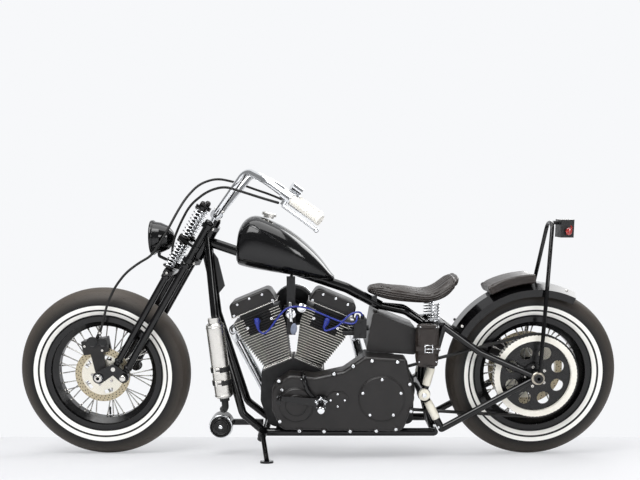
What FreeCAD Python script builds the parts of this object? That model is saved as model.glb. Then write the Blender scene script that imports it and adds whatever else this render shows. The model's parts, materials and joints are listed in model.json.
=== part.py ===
import FreeCAD, Part
import Sketcher
import math
import os
from FreeCAD import Placement, Rotation, Vector

# Springer-fork bobber motorcycle, leaning on its side stand. Millimetres, +Z up, the front
# towards -X and the machine's left side towards -Y. Every piece is drawn on the upright machine,
# X = 0 midway between the axles, Y = 0 in the wheels' plane and Z = 0 at the tyres' foot. The
# stance at the end of this file leans it over onto the stand.

# Driving dimensions, one group for each piece. Places carry _x, _y, _z, and those on the fork
# carry _up, along the steering axis from the front axle, and _aft, square to it.
SIZES = {
    "stance": {
        "lean_angle": 10, "overrun": 2, "seat_gap": 0.3, "running_gap": 6, "axle_height": 325,
        "drawn_wheelbase": 1635,
    },
    "wheels": {
        "wheelbase": 1635, "tyre_radius": 325, "tyre_crown_radius": 70,
        "tread_half_width": 52, "sidewall_radius": 60, "tyre_wall": 13, "bead_radius": 205,
        "bead_half_width": 46, "bead_width": 13, "bead_height": 17,
        "rim_lip_height": 15, "rim_lip": 4, "rim_wall": 4, "rim_well_radius": 184,
        "rim_well_half_width": 18, "rim_seat_width": 16,
        "hub_radius": 26, "hub_flange_radius": 42, "hub_flange": 6, "hub_flange_place": 28,
        "hub_half_length": 59.7, "axle_radius": 10, "axle_bore_radius": 6, "axle_fit": 0.5,
        "spoke_radius": 2.2, "spoke_hole_inset": 5, "spoke_foot_half_width": 8,
        "rear_hub_radius": 34, "rear_hub_half_length": 67.7, "rear_hub_flange_radius": 50,
    },
    "discs": {
        "disc_radius": 104, "disc_ring_width": 24, "disc_thickness": 5,
        "disc_bore": 18, "disc_slot_length": 34, "disc_slot_width": 14, 
        "rear_disc_radius": 146,
    },
    "pulley and belt": {
        "pulley_radius": 156, "pulley_ring": 22, "pulley_width": 32, "pulley_place": 68,
        "pulley_web": 8, "pulley_hole_place": 92, "pulley_hole_radius": 24,
        "sprocket_radius": 71, "sprocket_x": 294, "sprocket_z": 272,
        "belt_width": 28, "belt_thickness": 6, "belt_fit": 0.5,
    },
    "steering head": {
        "rake": 30.5, "fork_offset": 82, "neck_up": 560, "neck_length": 122, "neck_radius": 27,
        "stem_radius": 14.5, "stem_fit": 0.5,
    },
    "fork": {
        "leg_side": 100, "rear_leg_aft": 74, "rear_leg_radius": 13, "rear_leg_top": 540,
        "front_leg_aft": 31, "front_leg_radius": 12, "front_leg_top": 464,
        "front_leg_low_up": 55, "rear_pivot_up": 46.4, "rear_pivot_aft": 78.8,
        "leg_eye_radius": 17, "rocker_thickness": 11, "rocker_axle_radius": 23,
        "rocker_pivot_radius": 20, "rocker_mid_radius": 18, "nut_radius": 15,
        "nut_length": 11, "yoke_height": 17, "yoke_depth": 31, "yoke_margin": 3, "eye_half_width": 10, "rod_aft": 18, "rod_side": 66,
        "rod_radius": 7, "rod_top": 742, "crown_height": 17, "crown_radius": 28,
        "leg_boss_radius": 21, "top_clamp_up": 683, "top_clamp_height": 16,
        "stem_nut_radius": 19, "stem_nut_height": 20, "perch_up": 598, "perch_height": 10,
        "spring_seat_radius": 21, "spring_cap_height": 8, "spring_radius": 16.5,
        "spring_wire_radius": 2.6, "spring_turns": 9,
    },
    "handlebar": {
        "bar_radius": 12.7, "bar_bend": 62, "bar_foot_aft": 74, "bar_foot_side": 48,
        "bar_foot_up": 738, "bar_top_aft": 102, "bar_top_side": 150, "bar_top_up": 938,
        "bar_turn_aft": 190, "bar_turn_side": 268, "bar_turn_up": 944,
        "bar_end_aft": 412, "bar_end_side": 350, "bar_end_up": 925,
        "riser_radius": 17, "clamp_radius": 20, "clamp_length": 30,
        "grip_radius": 17, "grip_length": 124, "grip_end_radius": 20, "grip_end_length": 8,
        "control_radius": 19, "control_length": 38, "lever_radius": 6.5, "lever_drop": 34,
        "lever_reach": 150, "lever_knob_radius": 9, "reservoir_radius": 17,
        "reservoir_length": 46, "cable_radius": 4.5,
    },
    "headlamp": {
        "lamp_aft": -96, "lamp_up": 539, "lamp_radius": 60, "lamp_depth": 86,
        "lamp_rim": 12, "lamp_rim_radius": 63, "lens_bulge": 10, "lamp_wall": 3,
        "lamp_stay_radius": 6, "lamp_stay_bend": 8, "lamp_stay_aft": 62, "lamp_stay_turn_aft": 50,
        "lamp_stay_turn_up": 500, "lamp_stay_front_aft": -46, "lamp_stay_front_up": 492,
        "lamp_stay_end_aft": -41, "lamp_stay_end_up": 505.5,
    },
    "front brake": {
        "caliper_up": 88, "caliper_aft": -72, "caliper_radius": 26, "caliper_outer": 100,
        "caliper_inner": 38, "caliper_length": 92, "caliper_width": 52,
        "brake_arm_side": 76, "brake_arm": 9, "brake_arm_radius": 19,
        "rear_caliper_x": -118, "rear_caliper_z": 70,
    },
    "frame": {
        "main_tube_radius": 15, "backbone_radius": 19, "post_radius": 14, "tube_bend": 70,
        "backbone_up": 632, "backbone_x": 110, "backbone_z": 648, "backbone_end_x": 238,
        "backbone_end_z": 580, "down_up": 650, "down_side": 12, "down_mid_x": -389,
        "down_mid_z": 548, "down_mid_y": 50, "down_low_x": -284, "down_low_z": 182,
        "down_low_y": 104, "rail_y": 112, "rail_z": 113, "rail_front_x": -202,
        "rail_rear_x": 440, "post_x": 402, "post_z": 262, "post_y": 50, "post_top_x": 414,
        "post_top_z": 508, "seat_rail_x": 330, "seat_rail_z": 566, "seat_rail_y": 52,
        "pivot_x": 395, "pivot_z": 264, "pivot_tube_radius": 20, "pivot_side": 107.7,
        "neck_gusset": 9, "cross_front_x": -198, "cross_rear_x": 440,
        "bed_front_x": -160, "bed_rear_x": 212, "bed_length": 40, "bed_drop": 8,
        "top_cross_y": 100, "spring_plate_x": 400, "spring_plate_length": 46, "spring_plate_y": 58,
        "spring_plate_width": 44, "oil_lug_z": 480, "oil_lug_radius": 8, "oil_lug_x": 368,
        "nose_bracket_x": 204, "nose_bracket_length": 20, "nose_bracket_width": 36,
        "gusset_up": 600, "gusset_top_x": -378, "gusset_top_z": 760, "gusset_mid_x": -372,
        "gusset_mid_z": 734, "gusset_back_x": -354, "gusset_back_z": 656, "gusset_low_x": -400,
        "gusset_low_z": 600, "stand_ear": 16, "stand_ear_radius": 14, "stand_bar_radius": 8,
    },
    "swingarm": {
        "arm_radius": 13, "arm_side": 121, "arm_top_x": 462,
        "arm_top_z": 520, "arm_mid_x": 600, "arm_mid_z": 421, "arm_low_x": 466,
        "arm_low_z": 128, "axle_boss_radius": 27, "axle_boss": 27, "arm_boss_radius": 24,
        "fender_lug_radius": 9, "rear_axle_nut_radius": 17,
        "rear_axle_nut": 14, "pivot_cap_radius": 22, "pivot_cap": 12,
    },
    "fuel tank": {
        "tank_x": -304, "tank_z": 680, "tank_length": 365, "tank_height": 240,
        "tank_half_width": 138, "tank_tunnel_half_width": 25, "tank_tunnel_gap": 3,
        "cap_x": -186, "cap_radius": 28, "cap_height": 13, "cap_neck_radius": 20,
        "cap_neck_height": 8,
    },
    "engine": {
        "crank_x": -95, "crank_z": 226, "cylinder_angle": 22.5, "deck": 150,
        "crankcase_half_width": 76, "crankcase_radius": 124, "crankcase_drop": 102,
        "deck_half_length": 66, "barrel_radius": 50, "barrel_top": 372,
        "fin_thickness": 3.6, "fin_pitch": 9.8, "fin_first": 158, "fins": 21,
        "fin_low_half_length": 54, "fin_high_half_length": 91, "fin_low_half_width": 56,
        "fin_high_half_width": 74, "head_up": 292, "head_half_length": 62,
        "head_half_width": 62, "plug_up": 332, "plug_radius": 12, "plug_length": 26,
        "rocker_box_up": 374, "rocker_box_height": 58, "rocker_box_half_length": 92,
        "rocker_box_half_width": 72, "rocker_box_corner": 22,
        "rocker_box_edge": 9, 
        "pushrod_radius": 9, "pushrod_low": 128, "pushrod_side": 91.3, "pushrod_spread": 21,
        "tappet_radius": 15, "tappet_height": 22,
    },
    "engine covers": {
        "primary_x": -169, "primary_z": 131, "primary_length": 524, "primary_height": 287,
        "primary_inner": 99, "primary_outer": 196, "primary_edge": 14,
        "primary_boss_radius": 80,
        "derby_x": 233, "derby_z": 262, "derby_radius": 83, "derby_height": 7,
        "alternator_x": -79, "alternator_z": 239, "alternator_radius": 62,
        "alternator_height": 8, "inspection_x": 72, "inspection_z": 258,
        "inspection_half_length": 7, "inspection_radius": 31, "inspection_height": 5,
        "cover_edge": 3, "cam_x": -86, "cam_z": 236, "cam_radius": 84, "cam_thickness": 34,
        "cam_ear_radius": 40, "cam_ear_x": 20, "cam_ear_z": 268,
        "gearbox_x": 158, "gearbox_z": 132, "gearbox_length": 206, "gearbox_height": 262,
        "gearbox_left": 68, "gearbox_right": 90, "gearbox_corner": 26,
        "gearbox_cover": 24, "gearbox_cover_radius": 66,
    },
    "intake": {
        "intake_up": 340, "intake_side": 34, "carburettor_radius": 28, "carburettor_out": 104,
        "air_cleaner_radius": 80, "air_cleaner_depth": 52, "air_cleaner_edge": 20,
        "manifold_radius": 18, "runner_radius": 16, "runner_reach": 35,
    },
    "exhaust": {
        "pipe_radius": 20, "pipe_wall": 2.5, "pipe_bend": 33, "port_bend": 24, "port_up": 330,
        "port_out": 113, "pipe_y": 170, "front_pipe_x": -328, "front_pipe_y": 140, "front_pipe_z": 440,
        "front_pipe_knee_x": -235, "front_pipe_knee_z": 250, "front_pipe_low_x": -200,
        "pipe_low_z": 182, "front_pipe_end_x": 330, "rear_pipe_x": 146, "rear_pipe_y": 150,
        "rear_pipe_z": 440, "rear_pipe_low_x": 196, "pipe_rear_z": 250, "rear_pipe_end_x": 452,
    },
    "oil tank": {
        "oil_x": 178, "oil_z": 412, "oil_length": 190, "oil_height": 160,
        "oil_half_width": 120, "oil_edge": 10, 
    },
    "ignition": {
        "coil_x": 134, "coil_z": 472, "coil_length": 46, "coil_height": 72, "coil_y": 112,
        "coil_depth": 46, "coil_nose_radius": 10, "coil_nose_length": 42,
        "panel_x": -101, "panel_low_z": 478, "panel_top_z": 698, "panel_y": 60,
        "panel_thickness": 8, "panel_half_width": 16, "switch_radius": 17, "switch_z": 560,
        "switch_depth": 20, "button_x": -60, "button_z": 583, "button_radius": 13,
        "panel_stay_z": 691.5, "panel_stay_radius": 7,
    },
    "horn": {
        "horn_x": -370, "horn_z": 128, "horn_radius": 44, "horn_near": 92, "horn_far": 22,
        "horn_face_radius": 34, "horn_face": 8, "horn_edge": 6, "horn_arm_height": 22,
    },
    "canister": {
        "can_top_x": -381, "can_top_z": 532, "can_low_x": -350, "can_low_z": 252,
        "can_y": 128, "can_radius": 33, "can_end_edge": 6, "can_cap_radius": 23,
        "can_cap_height": 20, "strap_width": 20, "strap_thickness": 3, "strap_low": 50,
        "strap_high": 99, "strap_stay_radius": 6,
    },
    "seats": {
        "seat_x": 184, "seat_z": 588, "seat_length": 340, "seat_height": 122,
        "seat_half_width": 142, "seat_spring_x": 432, "seat_spring_y": 80,
        "seat_spring_radius": 19, "seat_spring_wire_radius": 3, "seat_spring_turns": 5,
        "seat_spring_foot_z": 534, "seat_spring_cap": 5, 
        "pad_from_angle": 91, "pad_angle": 29, "pad_thickness": 38, "pad_half_width": 86,
        "pad_edge": 16, "pad_gap": 0.3,
    },
    "rear fender": {
        "fender_gap": 17, "fender_sheet": 3, "fender_half_width": 88, "fender_skirt": 26,
        "fender_crown_radius": 92, "fender_from_angle": 64.5, "fender_angle": 88,
    },
    "sissy bar": {
        "sissy_low_x": 822, "sissy_low_z": 350, "sissy_low_y": 142.4, "sissy_mid_x": 846,
        "sissy_mid_z": 664, "sissy_mid_y": 98, "sissy_top_x": 872, "sissy_top_z": 894,
        "sissy_top_y": 34, "sissy_radius": 7.5, "sissy_bend": 34, "sissy_bolt_z": 648,
        "sissy_bolt_radius": 6,
        "tail_x": 903, "tail_z": 840, "tail_length": 48, "tail_height": 66,
        "tail_half_width": 40, "tail_arm_radius": 7,
    },
    "tool bag": {
        "bag_x": 357, "bag_z": 375, "bag_length": 84, "bag_height": 160, "bag_near": 187,
        "bag_far": 134.5, "bag_edge": 14,
    },
    "foot controls": {
        "peg_x": 11, "peg_z": 252, "peg_from": 214, "peg_to": 330, "peg_radius": 14,
        "peg_base_radius": 27, "peg_base": 12, "toe_x": -140, "toe_z": 270,
        "toe_y": 262, "toe_radius": 9, "toe_length": 56, "pedal_radius": 8,
        "right_arm_radius": 11, 
    },
    "side stand": {
        "stand_x": -207, "stand_y": 158, "stand_z": 120, "stand_foot_x": -183,
        "stand_foot_y": 302, "stand_radius": 9, "stand_boss_radius": 16, "stand_boss": 26,
        "stand_pin_radius": 7, "stand_foot_radius": 24, "stand_foot_height": 8,
        "stand_axis_x": 0.25, "stand_axis_y": -0.42, "stand_axis_z": 0.87,
        "stand_gap": 0.4,
    },
}

# Outlines as shares of the named length and height, or half width, that they follow
TANK_SHARES = [
    (0.000, 0.42, 0.29, 0.52), (0.016, 0.68, 0.25, 0.68), (0.055, 0.85, 0.225, 0.87),
    (0.150, 0.95, 0.190, 0.99), (0.315, 1.00, 0.145, 0.95), (0.530, 0.955, 0.090, 0.785),
    (0.720, 0.82, 0.040, 0.560), (0.885, 0.58, 0.012, 0.290), (0.972, 0.34, 0.008, 0.110),
    (1.000, 0.18, 0.020, 0.065),
]
SEAT_SHARES = [
    (0.000, 0.22, 0.40, 0.52), (0.040, 0.36, 0.34, 0.64), (0.180, 0.52, 0.20, 0.62),
    (0.380, 0.78, 0.12, 0.55), (0.590, 0.97, 0.10, 0.46), (0.760, 1.00, 0.16, 0.55),
    (0.900, 0.93, 0.38, 0.86), (0.975, 0.74, 0.62, 0.99), (1.000, 0.46, 0.76, 0.93),
]
PRIMARY_SHARES = [
    (0.000, 0.30, 0.26), (0.000, 0.60, 0.26), (0.120, 0.765, 0.20), (0.300, 0.735, 0.16),
    (0.500, 0.815, 0.10), (0.645, 1.000, 0.08), (0.940, 0.965, 0.10), (1.000, 0.45, 0.30),
    (0.920, 0.010, 0.26), (0.060, 0.040, 0.24),
]
OIL_SHARES = [(0.00, 0.08), (0.97, 0.00), (1.00, 0.58), (0.13, 1.00)]
# Sizes that grow and shrink with the wheelbase, as every place along X does
LENGTHWISE = {
    "tank_length", "seat_length", "primary_length", "gearbox_length", "oil_length", "coil_length",
    "bag_length",
}
# Routes of the two long cables on the fork, as (aft, side, up)
HOSE_ROUTE = [
    (264, 292, 905), (200, 250, 898), (130, 196, 884), (60, 140, 872), (-4, 90, 850), (-44, 40, 800),
    (-56, -2, 735), (-54, -40, 672), (-50, -60, 610), (-50, -68, 550), (-54, -74, 490), (-80, -80, 446),
    (-104, -86, 390), (-114, -88, 320), (-108, -88, 250), (-94, -86, 196), (-82, -86, 146),
]
CLUTCH_ROUTE = [
    (262, -292, 902), (204, -245, 886), (140, -185, 870), (60, -130, 850), (10, -85, 800),
    (-25, -44, 722), (-26, -22, 640), (-16, -26, 566), (20, -38, 500), (84, -42, 492), (84, -42, 539.9),
]
SPOKE_ROW_SHARES = (0.25, 0.75)
SECTION_POINTS = 16
SECTION_SQUARENESS_SHARE = 0.72
CABLE_GRIP_SHARE = 0.45


def worded(value):
    """The expression text of a size, or the number itself."""
    return value.text if isinstance(value, Size) else repr(float(value))


class Size(float):
    """A number that remembers the spreadsheet expression it comes from."""

    def __new__(cls, value, text):
        size = float.__new__(cls, value)
        size.text = text
        return size

    def __add__(self, other):
        return Size(float(self) + float(other), f"({self.text} + {worded(other)})")

    def __radd__(self, other):
        return Size(float(other) + float(self), f"({worded(other)} + {self.text})")

    def __sub__(self, other):
        return Size(float(self) - float(other), f"({self.text} - {worded(other)})")

    def __rsub__(self, other):
        return Size(float(other) - float(self), f"({worded(other)} - {self.text})")

    def __mul__(self, other):
        return Size(float(self) * float(other), f"({self.text} * {worded(other)})")

    def __rmul__(self, other):
        return Size(float(other) * float(self), f"({worded(other)} * {self.text})")

    def __truediv__(self, other):
        return Size(float(self) / float(other), f"({self.text} / {worded(other)})")

    def __neg__(self):
        return Size(-float(self), f"(-{self.text})")


class Sheet:
    """The spreadsheet of driving dimensions, each read as sheet.name."""

    def __init__(self, document, groups):
        self.cells = document.addObject("Spreadsheet::Sheet", "sizes")
        self.values = {}
        row = 1
        for group, entries in groups.items():
            self.cells.set(f"A{row}", group)
            row += 1
            for name, value in entries.items():
                self.cells.set(f"A{row}", name)
                self.cells.set(f"B{row}", str(value))
                self.cells.setAlias(f"B{row}", name)
                self.values[name] = value
                row += 1

    def __getattr__(self, name):
        size = Size(self.values[name], f"sizes.{name}")
        if name.endswith("_x") or name in LENGTHWISE:
            stretch = Size(self.values["wheelbase"], "sizes.wheelbase") / self.drawn_wheelbase
            return size * stretch
        return size


doc = FreeCAD.newDocument("bobber_motorcycle")
d = Sheet(doc, SIZES)
doc.recompute()

ALONG_X = Vector(1, 0, 0)
ALONG_Y = Vector(0, 1, 0)
ALONG_Z = Vector(0, 0, 1)
LEFT, RIGHT = -1, 1
UPRIGHT = Placement()
LYING = Placement(Vector(), Rotation(ALONG_X, -90))
nodes = {}

# Frames that pieces are drawn in
rake = math.radians(d.rake)
front_axle = Vector(-d.wheelbase / 2, 0, d.axle_height)
rear_axle = Vector(d.wheelbase / 2, 0, d.axle_height)
ground = d.axle_height - d.tyre_radius
crank = Vector(d.crank_x, 0, d.crank_z)
FORK = Placement(front_axle, Rotation(ALONG_Y, d.rake))
FRONT_CYLINDER = Placement(crank, Rotation(ALONG_Y, -d.cylinder_angle))
REAR_CYLINDER = Placement(crank, Rotation(ALONG_Y, d.cylinder_angle))


def fork_point(aft, side, up):
    """A place on the fork, in the upright machine's frame."""
    return FORK.multVec(Vector(aft, side, up))


def floor_height(y):
    """Height of the parking floor at a place beside the upright machine."""
    lean = math.radians(d.lean_angle)
    return ground + d.tyre_crown_radius - (d.tyre_crown_radius + y * math.sin(lean)) / math.cos(lean)


# Small helpers, each one feature of the document
def bind(thing, field, value):
    """Set a property, and tie it to the spreadsheet where the value comes from there."""
    setattr(thing, field, float(value))
    if isinstance(value, Size):
        thing.setExpression(field, value.text)


def box(name, corner, length, width, height):
    """Box with its lowest corner at a place."""
    block = doc.addObject("Part::Box", name)
    bind(block, "Length", length)
    bind(block, "Width", width)
    bind(block, "Height", height)
    block.Placement = Placement(Vector(*corner), Rotation())
    return block


def rod(name, start, end, radius):
    """Round bar between two places."""
    start, end = Vector(*start), Vector(*end)
    bar = doc.addObject("Part::Cylinder", name)
    bind(bar, "Radius", radius)
    bar.Height = (end - start).Length
    bar.Placement = Placement(start, Rotation(ALONG_Z, end - start))
    return bar


def across(name, x, z, y_from, y_to, radius):
    """Round bar along Y, as a pin or boss."""
    low, high = min(y_from, y_to), max(y_from, y_to)
    return rod(name, (x, low, z), (x, high, z), radius)


def run_and_arc(points, bends):
    """Wire of straight runs joined by tangent arcs, one radius for each inner point."""
    points = [Vector(*point) for point in points]
    edges = []
    here = points[0]
    for before, corner, after, bend in zip(points, points[1:], points[2:], bends):
        into, out = (corner - before).normalize(), (after - corner).normalize()
        turn = into.getAngle(out)
        reach = bend * math.tan(turn / 2)
        start, end = corner - into * reach, corner + out * reach
        bulge = (out - into).normalize() * (bend / math.cos(turn / 2) - bend)
        edges.append(Part.LineSegment(here, start).toShape())
        edges.append(Part.Arc(start, corner + bulge, end).toShape())
        here = end
    edges.append(Part.LineSegment(here, points[-1]).toShape())
    return Part.Wire(edges)


def bent_tube(name, points, radius, bend, bore=0):
    """Tube bent along straight runs and arcs, with an optional bore."""
    route = run_and_arc(points, [bend] * (len(points) - 2))
    start, heading = Vector(*points[0]), Vector(*points[1]) - Vector(*points[0])
    shape = route.makePipe(Part.Face(Part.Wire(Part.makeCircle(radius, start, heading))))
    if bore:
        shape = shape.cut(route.makePipe(Part.Face(Part.Wire(Part.makeCircle(bore, start, heading)))))
    tube = doc.addObject("Part::Feature", name)
    tube.Shape = shape
    return tube


def cable(name, points, radius):
    """Cable along a hand-picked route, each arc as large as its two runs allow."""
    places = [Vector(*point) for point in points]
    bends = []
    for before, corner, after in zip(places, places[1:], places[2:]):
        turn = (corner - before).getAngle(after - corner)
        shorter = min((corner - before).Length, (after - corner).Length)
        bends.append(CABLE_GRIP_SHARE * shorter / math.tan(turn / 2))
    route = run_and_arc(points, bends)
    heading = places[1] - places[0]
    line = doc.addObject("Part::Feature", name)
    line.Shape = route.makePipe(Part.Face(Part.Wire(Part.makeCircle(radius, places[0], heading))))
    expected = math.pi * radius * radius * route.Length
    print(f"{name}: {route.Length:.0f} mm, volume share {line.Shape.Volume / expected:.4f}, "
          f"arcs {[round(bend) for bend in bends]}")
    return line


def origin_plane(body, role):
    """One of the body's own origin planes."""
    return next(item for item in body.Origin.OriginFeatures if item.Role == role)


def closed_sketch(body, role, outline):
    """Closed profile of (x, y) points, or (x, y, radius) where an arc leads to the next point.
    A positive radius turns left on its way."""
    sketch = body.newObject("Sketcher::SketchObject", "profile")
    sketch.AttachmentSupport = (origin_plane(body, role), [""])
    sketch.MapMode = "FlatFace"
    count = len(outline)
    ends = []
    for index, point in enumerate(outline):
        start = Vector(point[0], point[1], 0)
        nearby = outline[(index + 1) % count]
        end = Vector(nearby[0], nearby[1], 0)
        radius = float(point[2]) if len(point) > 2 else 0.0
        if not radius:
            sketch.addGeometry(Part.LineSegment(start, end), False)
            ends.append((1, 2))
            continue
        half = (end - start) * 0.5
        left = Vector(-half.y, half.x, 0).normalize()
        depth = math.sqrt(max(radius * radius - half.Length ** 2, 0))
        centre = start + half + left * math.copysign(depth, radius)
        spokes = [start - centre, end - centre] if radius > 0 else [end - centre, start - centre]
        angles = [math.atan2(spoke.y, spoke.x) for spoke in spokes]
        circle = Part.Circle(centre, ALONG_Z, abs(radius))
        sketch.addGeometry(Part.ArcOfCircle(circle, *angles), False)
        ends.append((1, 2) if radius > 0 else (2, 1))
    for index in range(count):
        following = (index + 1) % count
        sketch.addConstraint(Sketcher.Constraint(
            "Coincident", index, ends[index][1], following, ends[following][0]))
    for index, point in enumerate(outline):
        for kind, axis, value in (("DistanceX", -2, point[0]), ("DistanceY", -1, point[1])):
            if float(value) == 0:
                sketch.addConstraint(Sketcher.Constraint("PointOnObject", index, ends[index][0], axis))
                continue
            place = sketch.addConstraint(Sketcher.Constraint(
                kind, -1, 1, index, ends[index][0], float(value)))
            if isinstance(value, Size):
                sketch.setExpression(f"Constraints[{place}]", value.text)
        if len(point) > 2 and point[2]:
            place = sketch.addConstraint(Sketcher.Constraint("Radius", index, abs(float(point[2]))))
            if isinstance(point[2], Size):
                sketch.setExpression(f"Constraints[{place}]", f"abs({point[2].text})")
    return sketch


def turned(name, outline, place=UPRIGHT):
    """Body turned about its own Z from a profile of (radius, height) points."""
    body = doc.addObject("PartDesign::Body", name)
    sketch = closed_sketch(body, "XZ_Plane", outline)
    turn = body.newObject("PartDesign::Revolution", "turn")
    turn.Profile = sketch
    turn.ReferenceAxis = (sketch, ["V_Axis"])
    turn.Angle = 360
    body.Placement = place
    doc.recompute()
    return body


def sideways(x, z, y=0):
    """Place of a turned piece whose own Z points to the machine's right."""
    return Placement(Vector(x, y, z), Rotation(ALONG_Z, ALONG_Y))


def plate(name, corners, y_near, y_far, place=UPRIGHT, edge=0):
    """Flat piece from a side outline of (x, z) or (x, z, corner radius) points, between two
    places along Y, the outer one rounded by edge where that isn't zero."""
    body = doc.addObject("PartDesign::Body", name)
    sketch = closed_sketch(body, "XZ_Plane", [corner[:2] for corner in corners])
    sketch.AttachmentOffset = Placement(Vector(0, 0, -y_far), Rotation())
    pad = body.newObject("PartDesign::Pad", "pad")
    pad.Profile = sketch
    bind(pad, "Length", y_far - y_near)
    doc.recompute()
    for radius in sorted({float(corner[2]) for corner in corners if len(corner) > 2 and corner[2]}):
        spots = [corner for corner in corners if len(corner) > 2 and float(corner[2]) == radius]
        round_off(body, [edge_name for spot in spots for edge_name in upright_edge(body, spot)],
                  spots[0][2])
    if edge:
        outer = y_near if abs(y_near) > abs(y_far) else y_far
        round_off(body, face_edges(body, outer), edge)
    body.Placement = place
    return body


def upright_edge(body, spot):
    """Names of the edges along Y at a corner of a side outline."""
    found = []
    for number, edge in enumerate(body.Shape.Edges, 1):
        ends = [vertex.Point for vertex in edge.Vertexes]
        if len(ends) == 2 and all(math.hypot(end.x - spot[0], end.z - spot[1]) < d.seat_gap for end in ends):
            found.append(f"Edge{number}")
    return found


def face_edges(body, y):
    """Names of the edges that lie flat at a place along Y."""
    return [f"Edge{number}" for number, edge in enumerate(body.Shape.Edges, 1)
            if abs(edge.BoundBox.YMin - y) < d.seat_gap and abs(edge.BoundBox.YMax - y) < d.seat_gap]


def round_off(body, names, radius, kind="PartDesign::Fillet"):
    """Fillet or chamfer on named edges of the body's latest feature."""
    feature = body.newObject(kind, "edge")
    feature.Base = (body.Tip if body.Tip is not feature else feature.BaseFeature, names)
    bind(feature, "Radius" if kind.endswith("Fillet") else "Size", radius)
    body.Tip = feature
    doc.recompute()


def lofted(name, shares, origin, length, half_width, height, place=UPRIGHT):
    """Smooth closed form through rounded sections along X, given as shares."""
    wires = []
    for along, wide, low, high in shares:
        x = origin.x + along * length
        middle = origin.z + height * (low + high) / 2
        points = []
        for index in range(SECTION_POINTS):
            angle = 2 * math.pi * index / SECTION_POINTS
            sideward, upward = math.cos(angle), math.sin(angle)
            reach = math.copysign(abs(sideward) ** SECTION_SQUARENESS_SHARE, sideward)
            rise = math.copysign(abs(upward) ** SECTION_SQUARENESS_SHARE, upward)
            points.append(Vector(x, origin.y + half_width * wide * reach,
                                 middle + height * (high - low) / 2 * rise))
        curve = Part.BSplineCurve()
        curve.interpolate(points, PeriodicFlag=True)
        wires.append(Part.Wire(curve.toShape()))
    form = doc.addObject("Part::Feature", name)
    form.Shape = Part.makeLoft(wires, True, False)
    form.Placement = place
    return form


def linked_plate(name, bosses, y_near, y_far, place=UPRIGHT):
    """Plate round a chain of bosses (x, z, radius), their outlines joined by tangent webs."""
    pieces = []
    for first, second in zip(bosses, bosses[1:]):
        start = Vector(first[0], y_near, first[1])
        end = Vector(second[0], y_near, second[1])
        span = end - start
        heading = math.atan2(span.z, span.x)
        tilt = math.acos((first[2] - second[2]) / span.Length)
        corners = []
        for centre, radius, side in ((start, first[2], 1), (end, second[2], 1),
                                     (end, second[2], -1), (start, first[2], -1)):
            angle = heading + side * tilt
            corners.append(centre + Vector(math.cos(angle), 0, math.sin(angle)) * radius)
        web = Part.Face(Part.makePolygon(corners + corners[:1]))
        pieces.append(web.extrude(Vector(0, y_far - y_near, 0)))
    for x, z, radius in bosses:
        pieces.append(Part.makeCylinder(radius, y_far - y_near, Vector(x, y_near, z), ALONG_Y))
    piece = doc.addObject("Part::Feature", name)
    piece.Shape = pieces[0].fuse(pieces[1:]).removeSplitter()
    piece.Placement = place
    return piece


def coil(name, start, end, radius, wire_radius, turns):
    """Coil spring between two places."""
    start, end = Vector(*start), Vector(*end)
    along = (end - start).normalize()
    climb = (end - start).Length - 2 * wire_radius
    helix = Part.makeHelix(climb / turns, climb, radius)
    ring = Part.Wire(Part.makeCircle(wire_radius, Vector(radius, 0, 0), ALONG_Y))
    spring = doc.addObject("Part::Feature", name)
    spring.Shape = Part.Wire(helix.Edges).makePipeShell([ring], True, True)
    spring.Placement = Placement(start + along * wire_radius, Rotation(ALONG_Z, along))
    return spring


def fused(name, parts):
    """Several solids made one."""
    whole = doc.addObject("Part::MultiFuse", name)
    whole.Shapes = parts
    return whole


def cut(name, base, tools):
    """A solid with others taken out of it."""
    result = doc.addObject("Part::Cut", name)
    result.Base = base
    result.Tool = tools[0] if len(tools) == 1 else fused(name + "_tools", tools)
    return result


def publish(name, parts, frame=UPRIGHT, apart=False):
    """Make a sub-part of one piece, of several made one, or of several that stay apart."""
    if len(parts) == 1:
        piece = parts[0]
        inner = piece.Placement
    else:
        piece = doc.addObject("Part::Compound" if apart else "Part::MultiFuse", name + "_whole")
        if apart:
            piece.Links = parts
        else:
            piece.Shapes = parts
        inner = UPRIGHT
    piece.Label = name
    nodes[name] = (piece, frame.multiply(inner))


# Wheels, turned about the axle, which is each body's own Z
def tyre(name, axle):
    """Hollow tyre: crown, sidewalls and beads in one profile."""
    crown_drop = d.tyre_crown_radius - math.sqrt(d.tyre_crown_radius ** 2 - d.tread_half_width ** 2)
    shoulder = d.tyre_radius - crown_drop
    bead, out = d.bead_radius, d.bead_half_width
    lip = bead + d.bead_height
    toe = out - d.bead_width
    inner_edge = d.tread_half_width - d.tyre_wall / 2
    inner_shoulder = shoulder - d.tyre_wall
    outline = [
        (bead, out), (lip, out, -d.sidewall_radius), (shoulder, d.tread_half_width, -d.tyre_crown_radius),
        (shoulder, -d.tread_half_width, -d.sidewall_radius), (lip, -out), (bead, -out),
        (bead, -toe), (lip, -toe, d.sidewall_radius), (inner_shoulder, -inner_edge, d.tyre_crown_radius),
        (inner_shoulder, inner_edge, d.sidewall_radius), (lip, toe), (bead, toe),
    ]
    publish(name, [turned(name, outline, sideways(axle.x, axle.z))])


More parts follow.
